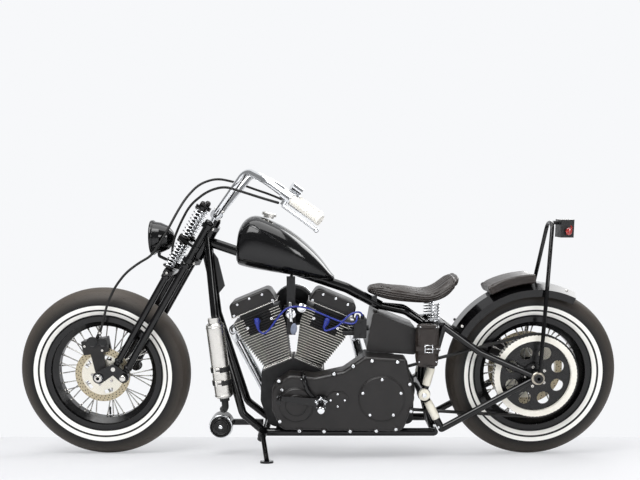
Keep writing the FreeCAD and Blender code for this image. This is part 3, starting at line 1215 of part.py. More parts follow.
def pushrod_tubes():
    """Four chrome tubes from the tappet blocks up to the rocker boxes, on the right."""
    parts = []
    for place in (FRONT_CYLINDER, REAR_CYLINDER):
        for shift in (LEFT, RIGHT):
            x = shift * d.pushrod_spread
            low = place.multVec(Vector(x, d.pushrod_side, d.pushrod_low))
            foot = place.multVec(Vector(x, d.pushrod_side, d.pushrod_low + d.tappet_height))
            top = place.multVec(Vector(x, d.pushrod_side, d.rocker_box_up - d.seat_gap))
            parts.append(fused("pushrod", [rod("tappet", low, foot, d.tappet_radius),
                                           rod("pushrod_tube", foot, top, d.pushrod_radius)]))
    publish("pushrod_tubes", parts, apart=True)


def primary_cover():
    """Long primary case cover with its round, oval and clutch covers proud of the face."""
    reach = d.primary_height * 0.5
    corners = [(d.primary_x + x * d.primary_length, d.primary_z + z * d.primary_height, r * reach)
               for x, z, r in PRIMARY_SHARES]
    cover = plate("primary_case", corners, -d.primary_outer, -d.primary_inner, UPRIGHT, d.primary_edge)
    face = -d.primary_outer
    parts = [cover, across("primary_boss", d.crank_x, d.crank_z, -d.primary_inner - d.overrun,
                           -d.crankcase_half_width - d.seat_gap, d.primary_boss_radius)]
    for name, x, z, radius, height in (
            ("derby", d.derby_x, d.derby_z, d.derby_radius, d.derby_height),
            ("alternator", d.alternator_x, d.alternator_z, d.alternator_radius, d.alternator_height)):
        outline = [(0, 0), (radius, 0), (radius, height - d.cover_edge), (radius - d.cover_edge, height), (0, height)]
        place = Placement(Vector(x, face + d.overrun, z), Rotation(ALONG_Z, -ALONG_Y))
        parts.append(turned(name, outline, place))
    parts.append(linked_plate("inspection", [
        (d.inspection_x - d.inspection_half_length, d.inspection_z, d.inspection_radius),
        (d.inspection_x + d.inspection_half_length, d.inspection_z, d.inspection_radius)],
        face - d.inspection_height, face + d.overrun))
    publish("primary_cover", parts)


def gearbox():
    """Gearbox as one closed block behind the primary case, with its end cover on the right."""
    x, z, corner = d.gearbox_x, d.gearbox_z, d.gearbox_corner
    case = plate("gearbox_case", [
        (x, z, corner), (x + d.gearbox_length, z, corner),
        (x + d.gearbox_length, z + d.gearbox_height * 0.7, corner),
        (x + d.gearbox_length * 0.6, z + d.gearbox_height, corner), (x, z + d.gearbox_height, corner)],
        -d.gearbox_left, d.gearbox_right)
    cover = across("gearbox_cover", x + d.gearbox_length / 2, z + d.gearbox_height * 0.42,
                   d.gearbox_right, d.gearbox_right + d.gearbox_cover, d.gearbox_cover_radius)
    pulley = across("front_pulley", d.sprocket_x, d.sprocket_z, d.overrun - d.pulley_place - d.pulley_width, -d.gearbox_left,
                    d.sprocket_radius)
    publish("gearbox", [case, cover, pulley])


def cam_cover():
    """Cam cover on the crankcase's right, with an ear over the rear tappets."""
    near = d.crankcase_half_width + d.seat_gap
    cover = linked_plate("cam_plate", [(d.cam_x, d.cam_z, d.cam_radius),
                                       (d.cam_ear_x, d.cam_ear_z, d.cam_ear_radius)],
                         near, near + d.cam_thickness)
    publish("cam_cover", [cover])


def carburettor():
    """Manifold in the V, carburettor out to the right and the round air cleaner on its end."""
    z = d.crank_z + d.intake_up
    x = d.crank_x
    out = d.carburettor_out
    parts = [across("intake", x, z, -d.intake_side, out, d.manifold_radius),
             across("carburettor_body", x, z, d.fin_high_half_width + d.seat_gap, out + d.overrun,
                    d.carburettor_radius)]
    parts.append(rod("intake_runner", (x - d.runner_reach, 0, z), (x + d.runner_reach, 0, z), d.runner_radius))
    edge = d.air_cleaner_edge
    radius, deep = d.air_cleaner_radius, d.air_cleaner_depth
    outline = [(0, 0), (radius - edge / 2, 0), (radius, edge / 2), (radius, deep - edge, edge),
               (radius - edge, deep), (0, deep)]
    parts.append(turned("air_cleaner", outline, sideways(x, z, out)))
    publish("carburettor", parts)


def exhaust_pipes():
    """Two drag pipes down the right side, open at their ends."""
    pipes = []
    for name, place, side, knees in (
            ("front_pipe", FRONT_CYLINDER, LEFT, [
                (d.front_pipe_x, d.front_pipe_y, d.front_pipe_z), (d.front_pipe_knee_x, d.pipe_y, d.front_pipe_knee_z),
                (d.front_pipe_low_x, d.pipe_y, d.pipe_low_z), (d.front_pipe_end_x, d.pipe_y, d.pipe_low_z)]),
            ("rear_pipe", REAR_CYLINDER, RIGHT, [
                (d.rear_pipe_x, d.rear_pipe_y, d.rear_pipe_z), (d.rear_pipe_low_x, d.pipe_y, d.pipe_rear_z),
                (d.rear_pipe_end_x, d.pipe_y, d.pipe_rear_z)])):
        port = place.multVec(Vector(side * (d.fin_high_half_length + d.seat_gap), d.pipe_radius, d.port_up))
        turn = place.multVec(Vector(side * d.port_out, d.pipe_radius, d.port_up))
        points = [port, turn] + knees
        route = run_and_arc(points, [d.port_bend] + [d.pipe_bend] * (len(points) - 3))
        pipe = doc.addObject("Part::Feature", name)
        solids = [route.makePipe(Part.Face(Part.Wire(Part.makeCircle(radius, port, turn - port))))
                  for radius in (d.pipe_radius, d.pipe_radius - d.pipe_wall)]
        pipe.Shape = solids[0].cut(solids[1])
        pipes.append(pipe)
    publish("exhaust_pipes", pipes, apart=True)


# Oil tank, coil, switches, horn and canister
def oil_tank():
    """Oil tank with sloped side panels between the frame's posts and the gearbox."""
    corners = [(d.oil_x + x * d.oil_length, d.oil_z + z * d.oil_height, d.oil_edge) for x, z in OIL_SHARES]
    tank = plate("oil_case", corners, -d.oil_half_width, d.oil_half_width)
    publish("oil_tank", [tank])


def ignition_coil():
    """Moulded coil with two lead noses, on the left behind the rear cylinder."""
    block = box("coil_block", (d.coil_x, -d.coil_y, d.coil_z), d.coil_length, d.coil_depth, d.coil_height)
    parts = [block]
    for share in (0.25, 0.75):
        z = d.coil_z + d.coil_height * share
        y = d.coil_depth / 2 - d.coil_y
        parts.append(rod("coil_nose", (d.coil_x - d.coil_nose_length, y, z), (d.coil_x, y, z), d.coil_nose_radius))
    middle = d.coil_z + d.coil_height / 2
    share = (middle - d.oil_z - d.oil_height * OIL_SHARES[0][1]) / (d.oil_height * (1 - OIL_SHARES[0][1]))
    face = d.oil_x + d.oil_length * OIL_SHARES[3][0] * share
    parts.append(rod("coil_stay", (d.coil_x, d.coil_depth / 2 - d.coil_y, middle),
                     (face - d.running_gap / 2, d.coil_depth / 2 - d.coil_y, middle), d.coil_nose_radius))
    publish("ignition_coil", parts)


def switch_panel():
    """Ignition switch, start button and sounder on a slim bracket in the V."""
    y = -d.panel_y
    far = y - d.panel_thickness
    parts = [box("panel", (d.panel_x - d.panel_half_width, far, d.panel_low_z), d.panel_half_width * 2,
                 d.panel_thickness, d.panel_top_z - d.panel_low_z)]
    parts.append(across("panel_stay", d.panel_x, d.panel_stay_z, y - d.panel_thickness / 2, 0, d.panel_stay_radius))
    parts.append(across("switch", d.panel_x, d.switch_z, far - d.switch_depth, far, d.switch_radius))
    parts.append(rod("button_arm", (d.panel_x, y - d.panel_thickness / 2, d.button_z),
                     (d.button_x, y - d.panel_thickness / 2, d.button_z), d.panel_thickness / 2))
    parts.append(across("button", d.button_x, d.button_z, far - d.switch_depth, y, d.button_radius))
    publish("switch_panel", parts)


def horn():
    """Round horn low in front of the downtubes, facing left."""
    near, far = -d.horn_near, -d.horn_far
    deep = far - near
    outline = [(0, 0), (d.horn_radius, 0), (d.horn_radius, deep - d.horn_edge),
               (d.horn_radius - d.horn_edge, deep), (d.horn_face_radius, deep),
               (d.horn_face_radius - d.horn_face, deep + d.horn_face), (0, deep + d.horn_face)]
    case = turned("horn_case", outline, Placement(Vector(d.horn_x, far, d.horn_z), Rotation(ALONG_Z, -ALONG_Y)))
    arm = box("horn_arm", (d.horn_x, far - d.horn_edge, d.horn_z - d.horn_arm_height / 2),
              d.cross_front_x - d.horn_x - d.post_radius - d.seat_gap, d.horn_edge * 2, d.horn_arm_height)
    publish("horn", [case, arm])


def canister():
    """Slim metal canister strapped outside the left downtube."""
    low = Vector(d.can_low_x, -d.can_y, d.can_low_z)
    top = Vector(d.can_top_x, -d.can_y, d.can_top_z)
    length = (top - low).Length
    edge, radius = d.can_end_edge, d.can_radius
    outline = [(0, 0), (radius - edge, 0), (radius, edge), (radius, length - edge),
               (radius - edge, length), (d.can_cap_radius, length), (d.can_cap_radius, length + d.can_cap_height),
               (0, length + d.can_cap_height)]
    straps = [(radius, d.strap_low), (radius + d.strap_thickness, d.strap_low),
              (radius + d.strap_thickness, d.strap_low + d.strap_width), (radius, d.strap_low + d.strap_width),
              (radius, d.strap_high), (radius + d.strap_thickness, d.strap_high),
              (radius + d.strap_thickness, d.strap_high + d.strap_width), (radius, d.strap_high + d.strap_width)]
    outline = outline[:3] + straps + outline[3:]
    parts = [turned("can", outline, Placement(low, Rotation(ALONG_Z, top - low)))]
    knee = Vector(d.down_mid_x, -d.down_mid_y, d.down_mid_z)
    foot = Vector(d.down_low_x, -d.down_low_y, d.down_low_z)
    for place in (d.strap_low, d.strap_high):
        start = low + (top - low).normalize() * (place + d.strap_width / 2)
        share = (start.z - foot.z) / (knee.z - foot.z)
        end = foot + (knee - foot) * share
        inward = (end - start).normalize()
        parts.append(rod("strap_stay", start + inward * (radius / 2),
                         end - inward * (d.main_tube_radius + d.strap_thickness / 2), d.strap_stay_radius))
    publish("canister", parts)


# Seats, fender, sissy bar and bag
def solo_seat():
    """Sprung solo seat, broad and dished at the back, narrow at the nose."""
    publish("solo_seat", [seat])


def seat_springs():
    """Two coil springs between the seat and the frame's top cross tube."""
    parts = []
    top = min(seat_underside(d.seat_spring_x + reach, d.seat_spring_y)
              for reach in (-d.seat_spring_radius, 0, d.seat_spring_radius))
    for side in (LEFT, RIGHT):
        y = side * d.seat_spring_y
        parts.append(coil("seat_spring", (d.seat_spring_x, y, d.seat_spring_foot_z + d.seat_spring_cap),
                          (d.seat_spring_x, y, top - d.seat_spring_wire_radius - d.seat_gap),
                          d.seat_spring_radius, d.seat_spring_wire_radius, d.seat_spring_turns))
        parts.append(rod("spring_foot", (d.seat_spring_x, y, d.seat_spring_foot_z),
                         (d.seat_spring_x, y, d.seat_spring_foot_z + d.seat_spring_cap),
                         d.seat_spring_radius + d.seat_spring_wire_radius))
    publish("seat_springs", parts, apart=True)


def rear_fender():
    """Short curved fender over the tyre, made by turning its section about the axle."""
    inner = d.tyre_radius + d.fender_gap
    wide, sheet, crown = d.fender_half_width, d.fender_sheet, d.fender_crown_radius
    sag = crown - math.sqrt(crown ** 2 - (wide - sheet) ** 2)
    shoulder = inner - sag * 0.3
    outline = [(shoulder - d.fender_skirt, wide), (shoulder, wide), (inner + sheet, wide * 0.45),
               (inner + sheet, -wide * 0.45), (shoulder, -wide), (shoulder - d.fender_skirt, -wide),
               (shoulder - d.fender_skirt, sheet - wide), (shoulder - sheet / 2, sheet - wide),
               (inner, -wide * 0.45), (inner, wide * 0.45), (shoulder - sheet / 2, wide - sheet),
               (shoulder - d.fender_skirt, wide - sheet)]
    body = doc.addObject("PartDesign::Body", "fender")
    sketch = closed_sketch(body, "XZ_Plane", outline)
    turn = body.newObject("PartDesign::Revolution", "turn")
    turn.Profile = sketch
    turn.ReferenceAxis = (sketch, ["V_Axis"])
    bind(turn, "Angle", d.fender_angle)
    doc.recompute()
    body.Placement = Placement(rear_axle, Rotation(ALONG_Y, -d.fender_from_angle - d.fender_angle)).multiply(
        Placement(Vector(), Rotation(ALONG_Z, ALONG_Y)))
    publish("rear_fender", [body])


def pillion_pad():
    """Slim pad that follows the fender's curve."""
    inner = d.tyre_radius + d.fender_gap + d.fender_sheet + d.pad_gap
    outer = inner + d.pad_thickness
    wide, edge = d.pad_half_width, d.pad_edge
    body = doc.addObject("PartDesign::Body", "pad")
    outline = [(inner, wide), (outer - edge, wide, -edge), (outer, wide - edge), (outer, edge - wide, -edge),
               (outer - edge, -wide), (inner, -wide)]
    sketch = closed_sketch(body, "XZ_Plane", outline)
    turn = body.newObject("PartDesign::Revolution", "turn")
    turn.Profile = sketch
    turn.ReferenceAxis = (sketch, ["V_Axis"])
    bind(turn, "Angle", d.pad_angle)
    doc.recompute()
    body.Placement = Placement(rear_axle, Rotation(ALONG_Y, -d.pad_from_angle - d.pad_angle)).multiply(
        Placement(Vector(), Rotation(ALONG_Z, ALONG_Y)))
    publish("pillion_pad", [body])


def sissy_bar():
    """Hoop behind the pad, its struts down to the axle, with a bulge part way up each side."""
    points = []
    for side in (LEFT, RIGHT):
        half = [(d.sissy_low_x, side * d.sissy_low_y, d.sissy_low_z),
                (d.sissy_mid_x, side * d.sissy_mid_y, d.sissy_mid_z),
                (d.sissy_top_x, side * d.sissy_top_y, d.sissy_top_z)]
        points += half if side == LEFT else half[::-1]
    parts = [bent_tube("hoop", points, d.sissy_radius, d.sissy_bend)]
    share = (d.sissy_bolt_z - d.sissy_low_z) / (d.sissy_mid_z - d.sissy_low_z)
    x = d.sissy_low_x + (d.sissy_mid_x - d.sissy_low_x) * share
    y = d.sissy_low_y + (d.sissy_mid_y - d.sissy_low_y) * share
    parts += [across("sissy_bolt", x, d.sissy_bolt_z, side * (d.fender_half_width + d.seat_gap), side * y,
                     d.sissy_bolt_radius) for side in (LEFT, RIGHT)]
    publish("sissy_bar", parts)


def tail_lamp():
    """Tail lamp behind the top of the hoop."""
    x = d.sissy_top_x + d.sissy_radius + d.seat_gap
    case = box("tail_case", (d.tail_x, -d.tail_half_width, d.tail_z), d.tail_length, d.tail_half_width * 2,
               d.tail_height)
    arm = rod("tail_arm", (x, 0, d.sissy_top_z), (d.tail_x + d.overrun, 0, d.sissy_top_z), d.tail_arm_radius)
    publish("tail_lamp", [case, arm])


def tool_bag():
    """Leather tool bag buckled outside the left rear post."""
    corners = [(d.bag_x, d.bag_z, d.bag_edge), (d.bag_x + d.bag_length, d.bag_z, d.bag_edge),
               (d.bag_x + d.bag_length, d.bag_z + d.bag_height, d.bag_edge),
               (d.bag_x, d.bag_z + d.bag_height, d.bag_edge)]
    publish("tool_bag", [plate("bag", corners, -d.bag_near, -d.bag_far)])


# Foot controls and stand
def foot_controls(name, side, inner):
    """Footpeg on a round base, with the lever that the toe works ahead of it."""
    x, z = d.peg_x, d.peg_z
    base_far = d.peg_from
    parts = [across("peg_base", x, z, side * (base_far - d.peg_base), side * base_far, d.peg_base_radius),
             across("peg", x, z, side * base_far, side * d.peg_to, d.peg_radius)]
    arm = linked_plate("pedal_arm", [(x, z, d.peg_base_radius * 0.6), (d.toe_x, d.toe_z, d.pedal_radius)],
                       *sorted((side * base_far, side * (base_far + d.pedal_radius))))
    toe = across("toe_peg", d.toe_x, d.toe_z, side * base_far, side * (d.toe_y + d.toe_length / 2), d.toe_radius)
    parts += [arm, toe]
    parts.append(across("peg_mount", x, z, side * inner, side * (base_far - d.peg_base), d.right_arm_radius))
    publish(name, parts)


def stand_turn():
    """Direction of the side stand's pivot."""
    return Vector(d.stand_axis_x, d.stand_axis_y, d.stand_axis_z).normalize()


def side_stand():
    """Side stand: boss on the slanted pivot, leg and a flat foot on the floor."""
    pivot = Vector(d.stand_x, -d.stand_y, d.stand_z)
    axis = stand_turn()
    lean = math.radians(d.lean_angle)
    floor_up = Vector(0, math.sin(lean), math.cos(lean))
    foot = Vector(d.stand_foot_x, -d.stand_foot_y, floor_height(-d.stand_foot_y))
    boss = rod("stand_boss", pivot - axis * (d.stand_boss / 2), pivot + axis * (d.stand_boss / 2), d.stand_boss_radius)
    leg = rod("stand_leg", pivot, foot + floor_up * d.stand_foot_height, d.stand_radius)
    pad = rod("stand_foot", foot, foot + floor_up * d.stand_foot_height, d.stand_foot_radius)
    past = axis * (d.stand_boss / 2 + d.overrun)
    bore = rod("stand_bore", pivot - past, pivot + past, d.stand_pin_radius + d.seat_gap)
    publish("side_stand", [cut("stand_cut", fused("stand_solid", [boss, leg, pad]), [bore])])


seat = lofted("seat_form", SEAT_SHARES, Vector(d.seat_x, 0, d.seat_z), d.seat_length,
              d.seat_half_width, d.seat_height)
for name, axle in (("front_tyre", front_axle), ("rear_tyre", rear_axle)):
    tyre(name, axle)
wire_wheel("front_rim", front_axle, d.hub_radius, d.hub_flange_radius, d.hub_half_length)
wire_wheel("rear_rim", rear_axle, d.rear_hub_radius, d.rear_hub_flange_radius, d.rear_hub_half_length)
brake_disc("front_disc", front_axle, d.disc_radius, LEFT, d.hub_half_length)
brake_disc("rear_disc", rear_axle, d.rear_disc_radius, RIGHT, d.rear_hub_half_length)
rear_pulley()
drive_belt()
front_axle_bar()
rockers()
rear_legs()
front_legs()
triple_clamps()
fork_springs()
handlebar()
grips()
hand_controls()
hand_cables()
headlamp()
front_brake()
frame()
swingarm()
rear_axle_bar()
rear_brake()
fuel_tank()
crankcase()
cylinder("front_cylinder", FRONT_CYLINDER)
cylinder("rear_cylinder", REAR_CYLINDER)
rocker_box("front_rocker_box", FRONT_CYLINDER)
rocker_box("rear_rocker_box", REAR_CYLINDER)
pushrod_tubes()
primary_cover()
gearbox()
cam_cover()
carburettor()
exhaust_pipes()
oil_tank()
ignition_coil()
switch_panel()
horn()
canister()
solo_seat()
seat_springs()
rear_fender()
pillion_pad()
sissy_bar()
tail_lamp()
tool_bag()
foot_controls("left_foot_controls", LEFT, d.primary_outer + d.seat_gap)
foot_controls("right_foot_controls", RIGHT, d.crankcase_half_width + d.cam_thickness + d.seat_gap * 2)
side_stand()

# Stance: lean about the line where the tyres' crowns are centred, so that they stay on the floor
lean = Rotation(ALONG_X, d.lean_angle)
stance = Placement(Vector(), lean, Vector(0, 0, ground + d.tyre_crown_radius))
doc.recompute()
reach = FreeCAD.BoundBox()
for name in ("grips", "hand_controls", "left_foot_controls", "right_foot_controls"):
    piece, frame_place = nodes[name]
    shape = piece.Shape.copy()
    shape.Placement = stance.multiply(frame_place)
    for spot in shape.tessellate(d.seat_gap)[0]:
        reach.add(spot)
shift = Vector(0, -reach.Center.y, -ground)
stance = Placement(shift, Rotation()).multiply(stance)
for piece, frame_place in nodes.values():
    piece.Placement = stance.multiply(frame_place)
doc.recompute()

for item in doc.Objects:
    if {"Invalid", "Error"} & set(item.State):
        raise RuntimeError(f"{item.Label} failed: {item.State}")
os.makedirs("parts", exist_ok=True)
for name, (piece, frame_place) in nodes.items():
    if piece.Shape.isNull() or not piece.Shape.isValid():
        raise RuntimeError(f"{name} has no valid shape")
    piece.Shape.exportStep(os.path.join("parts", name + ".step"))
print("shift", [round(value, 3) for value in shift])
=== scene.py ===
"""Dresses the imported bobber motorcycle: finishes, fastenings, leather and the photograph's studio."""

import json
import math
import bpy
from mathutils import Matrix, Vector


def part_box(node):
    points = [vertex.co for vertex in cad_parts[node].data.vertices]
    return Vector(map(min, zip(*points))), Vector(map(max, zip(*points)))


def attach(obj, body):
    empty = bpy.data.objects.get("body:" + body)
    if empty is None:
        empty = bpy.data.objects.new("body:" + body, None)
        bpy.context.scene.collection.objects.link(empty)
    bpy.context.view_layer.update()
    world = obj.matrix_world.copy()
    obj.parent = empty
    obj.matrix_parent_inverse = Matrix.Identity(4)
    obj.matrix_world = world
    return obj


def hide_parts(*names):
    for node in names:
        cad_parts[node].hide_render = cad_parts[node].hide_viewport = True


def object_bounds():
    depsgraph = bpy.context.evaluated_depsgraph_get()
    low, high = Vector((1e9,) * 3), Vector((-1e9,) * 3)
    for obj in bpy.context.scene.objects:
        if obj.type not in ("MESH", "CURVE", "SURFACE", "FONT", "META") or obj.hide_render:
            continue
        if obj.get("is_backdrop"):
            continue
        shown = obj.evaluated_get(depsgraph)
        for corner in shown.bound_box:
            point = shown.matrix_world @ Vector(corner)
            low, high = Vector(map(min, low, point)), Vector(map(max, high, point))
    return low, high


bl_info = {
    "name": "Bobber Motorcycle Dresser",
    "version": (1, 0, 0),
    "blender": (4, 5, 0),
    "location": "View3D > Sidebar > Motorcycle",
    "description": "Finishes and fine pieces of a springer-fork bobber motorcycle on its side stand",
    "category": "Object",
}

from functools import partial

import bmesh
import bpy
from bpy.props import FloatProperty, FloatVectorProperty, IntProperty, PointerProperty
from mathutils import Matrix, Vector

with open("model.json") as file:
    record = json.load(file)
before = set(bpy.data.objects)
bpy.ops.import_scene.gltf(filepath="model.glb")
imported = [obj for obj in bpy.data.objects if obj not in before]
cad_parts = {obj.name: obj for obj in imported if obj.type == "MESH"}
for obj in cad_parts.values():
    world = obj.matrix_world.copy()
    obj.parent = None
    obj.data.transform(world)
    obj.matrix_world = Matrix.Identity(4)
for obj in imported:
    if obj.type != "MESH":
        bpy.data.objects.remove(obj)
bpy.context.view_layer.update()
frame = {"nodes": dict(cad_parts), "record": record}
NODES = frame["nodes"]
JOINTS = {joint["name"]: joint for joint in frame["record"]["behaviour"]["joints"]}
MM = 0.001
LEFT, RIGHT = -1, 1

# The upright machine's frame: X towards the rear, Y towards its right, Z up, millimetres, with its
# zero midway between the axles at the tyres' foot. The parked machine leans to its left.
AXLE_HEIGHT = 325
front_hub = Vector(JOINTS["front_wheel_spin"]["pos_m"])
rear_hub = Vector(JOINTS["rear_wheel_spin"]["pos_m"])
ACROSS = Vector(JOINTS["rear_wheel_spin"]["axis"]).normalized()
ALONG = Vector((1, 0, 0))
UPWARD = ALONG.cross(ACROSS).normalized()


def frame_of(origin, along, across, up):
    """Matrix that takes millimetres in a frame to metres in the row frame."""
    turn = Matrix((along, across, up)).transposed().to_4x4()
    return Matrix.Translation(origin) @ turn @ Matrix.Scale(MM, 4)


MACHINE = frame_of((front_hub + rear_hub) / 2 - UPWARD * AXLE_HEIGHT * MM, ALONG, ACROSS, UPWARD)
STEER_UP = Vector(JOINTS["steering"]["axis"]).normalized()
FORK = frame_of(front_hub, ACROSS.cross(STEER_UP).normalized(), ACROSS, STEER_UP)
FRONT_WHEEL = frame_of(front_hub, ALONG, ACROSS, UPWARD)
REAR_WHEEL = frame_of(rear_hub, ALONG, ACROSS, UPWARD)
CRANK = Vector((-95, 0, 226))
FRONT_CYLINDER = MACHINE @ Matrix.Translation(CRANK) @ Matrix.Rotation(math.radians(-22.5), 4, "Y")
REAR_CYLINDER = MACHINE @ Matrix.Translation(CRANK) @ Matrix.Rotation(math.radians(22.5), 4, "Y")


# Colours and materials
def linear(colour):
    """sRGB hex as linear RGBA. A colour from the settings is linear already."""
    if not isinstance(colour, str):
        return colour
    parts = [int(colour[place:place + 2], 16) / 255 for place in (1, 3, 5)]
    return [part / 12.92 if part <= 0.04045 else ((part + 0.055) / 1.055) ** 2.4 for part in parts] + [1]


def add_node(owner, kind, inputs=(), output=0, **options):
    """Add a node with its settings, values and links, and give the output asked for.

    An input is a value, another node's output, or a sum such as ("ADD", first, second)."""
    tree = owner.node_tree
    node = tree.nodes.new("ShaderNode" + kind)
    for name, value in options.items():
        setattr(node, name, value)
    for name, value in inputs.items() if isinstance(inputs, dict) else enumerate(inputs):
        if isinstance(value, tuple) and isinstance(value[0], str):
            value = add_node(owner, "Math", value[1:], operation=value[0])
        if isinstance(value, bpy.types.NodeSocket):
            tree.links.new(value, node.inputs[name])
        else:
            node.inputs[name].default_value = value
    return node.outputs[output]


def link(source, node, name):
    """Feed a socket of a node that is there already."""
    node.id_data.links.new(source, node.inputs[name])


# A Mix node's colour result, and the part of a noise's range where most of its values lie
MIXED_COLOUR = 2
NOISE_REACH = (0.3, 0.7)


def start_finish(name, colour, roughness, metallic=0.0, shades=None, polish=None, grain=None, **sockets):
    """New material: itself, the way to add its nodes, its shader and the piece's own coordinates.

    Its colour, roughness and height may each wander with a noise of their own, given as the size of a
    lump in mm and the noise's detail, and then two colours for shades, two roughnesses for polish, or
    the depth in mm and the strength for grain."""
    material = bpy.data.materials.new(name)
    material.use_nodes = True
    material.diffuse_color = linear(colour)
    shader = material.node_tree.nodes["Principled BSDF"]
    for socket, value in {"Base_Color": linear(colour), "Roughness": roughness, "Metallic": metallic,
                          **sockets}.items():
        shader.inputs[socket.replace("_", " ")].default_value = value
    node = partial(add_node, material)
    place = node("TexCoord", output="Object")
    for socket, channel in (("Base Color", shades), ("Roughness", polish), ("Normal", grain)):
        if not channel:
            continue
        size, detail, first, second = channel
        lumps = node("TexNoise", {"Vector": place, "Scale": 1 / (size * MM), "Detail": detail})
        if socket == "Base Color":
            made = node("Mix", {0: lumps, 6: linear(first), 7: linear(second)}, MIXED_COLOUR, data_type="RGBA")
        elif socket == "Roughness":
            made = node("MapRange", (lumps, *NOISE_REACH, first, second))
        else:
            made = node("Bump", {"Height": lumps, "Distance": first * MM, "Strength": second})
        link(made, shader, socket)
    return material, node, shader, place


def own_axes(node, place, matrix):
    """How far a point lies along each axis of a frame, in metres."""
    spot, turn, _ = matrix.decompose()
    local = node("Mapping", {"Vector": place, "Location": spot, "Rotation": turn.to_euler()},
                 vector_type="TEXTURE")
    return node("SeparateXYZ", [local], slice(3))


def round_axle(node, place, matrix):
    """Distance from a wheel's axle, angle round it and the place across it."""
    x, y, z = own_axes(node, place, matrix)
    reach = node("Math", [("ADD", ("MULTIPLY", x, x), ("MULTIPLY", z, z))], operation="SQRT")
    return reach, node("Math", [z, x], operation="ARCTAN2"), y


def between(node, value, low, high, soft=0.4):
    """1 between two places in mm and 0 outside them, with soft edges."""
    rise, fall = (node("MapRange", (value, (edge - soft) * MM, (edge + soft) * MM, *ends))
                  for edge, ends in ((low, (0, 1)), (high, (1, 0))))
    return node("Math", [rise, fall], operation="MULTIPLY")


def gloss_black_enamel():
    """Baked enamel under clear lacquer: deep black, mirror-like, with a faint orange peel."""
    return start_finish("gloss black enamel", settings().enamel, 0.1, polish=(30, 4, 0.06, 0.16),
                        grain=(6, 2, 0.008, 1), Specular_IOR_Level=0.42)[0]


def satin_black_powder():
    """Powder coat on castings: dark grey sheen with fine grain and lighter, rubbed patches."""
    # The real grain is finer than a pixel, so it is drawn at 1.5 mm
    return start_finish("satin black powder coat", "#161515", 0.34, shades=(60, 4, "#100F0F", "#1E1B1A"),
                        polish=(25, 5, 0.3, 0.44), grain=(1.5, 2, 0.05, 0.5), Specular_IOR_Level=0.42)[0]


def wrinkle_black():
    """Wrinkle paint on crankcase and gearbox: matt, with small worm-like ridges."""
    return start_finish("wrinkle black paint", "#0C0C0D", 0.5, polish=(20, 4, 0.42, 0.62),
                        grain=(2, 4, 0.25, 0.7), Specular_IOR_Level=0.4)[0]


def chrome_plate():
    """Bright chrome: near-mirror, a cool tint, with faint smears that soften it in places."""
    return start_finish("bright chrome plate", "#E6E8EA", 0.07, 1.0, polish=(35, 5, 0.04, 0.13))[0]


def polished_alloy():
    """Buffed aluminium casting: bright and slightly warm, softer than chrome, with buffing drag."""
    return start_finish("buffed aluminium", "#D2D0CB", 0.22, 1.0, polish=(25, 3, 0.2, 0.29),
                        grain=(8, 2, 0.004, 1))[0]


def ground_steel():
    """Ground stainless steel: grey, with fine turning lines and a dull bloom."""
    return start_finish("ground stainless steel", "#BDB6A8", 0.32, 1.0, shades=(10, 5, "#A79F90", "#CFC9BC"),
                        polish=(2, 3, 0.26, 0.4))[0]


def black_rubber():
    """Moulded rubber: charcoal, matt, with a fine even grain."""
    return start_finish("moulded black rubber", "#111111", 0.6, shades=(8, 4, "#101010", "#1C1C1B"),
                        grain=(1.2, 2, 0.05, 0.5), Specular_IOR_Level=0.4)[0]


def black_plastic():
    """Moulded ABS: dark grey with a light spark-eroded texture."""
    return start_finish("moulded black ABS", "#131314", 0.42, polish=(15, 3, 0.38, 0.52),
                        grain=(1.4, 2, 0.06, 0.6), Specular_IOR_Level=0.42)[0]


def white_rubber():
    """Smooth grip rubber: near white, slightly yellowed where the hands hold it."""
    return start_finish("smooth white rubber", "#E9E7E0", 0.5, shades=(40, 4, "#DAD6CA", "#F0EEE9"),
                        grain=(1.5, 2, 0.03, 0.5))[0]


def cream_enamel():
    """Cream paint on the trim: warm white under clear lacquer."""
    return start_finish("cream enamel", "#ECE8D8", 0.3, shades=(30, 4, "#E2DCC8", "#F2EFE4"),
                        Coat_Weight=0.6)[0]


def blue_silicone():
    """Silicone plug boots: saturated blue, half matt, slightly see-through at the edge."""
    return start_finish("blue silicone rubber", "#1B2880", 0.38,
                        shades=(12, 3, "#141E66", settings().plug_boots), grain=(2, 2, 0.03, 0.4),
                        Subsurface_Weight=0.1)[0]


def fob_plastic():
    """Key fob of grey-blue plastic, scuffed on its faces."""
    return start_finish("grey-blue fob plastic", "#6C7487", 0.4, shades=(9, 4, "#5A6275", "#828A9C"))[0]


def black_leather():
    """Full-grain hide: soft sheen, pebbled grain and creases, greyed where it is rubbed."""
    material, node, shader, place = start_finish(
        "oiled black leather", "#1F1B19", 0.38, shades=(45, 4, settings().leather, settings().worn_leather),
        polish=(40, 3, 0.32, 0.42), Specular_IOR_Level=0.38, Coat_Weight=0.06, Coat_Roughness=0.25)
    # Pebbles of 2.2 mm, and creases about 6 mm apart
    pebbles = node("TexVoronoi", {"Vector": place, "Scale": 1 / (2.2 * MM)})
    creases = node("TexNoise", {"Vector": place, "Scale": 1 / (6 * MM), "Detail": 3})
    link(node("Bump", {"Height": ("ADD", pebbles, creases), "Distance": 0.06 * MM, "Strength": 0.6}), shader,
         "Normal")
    return material


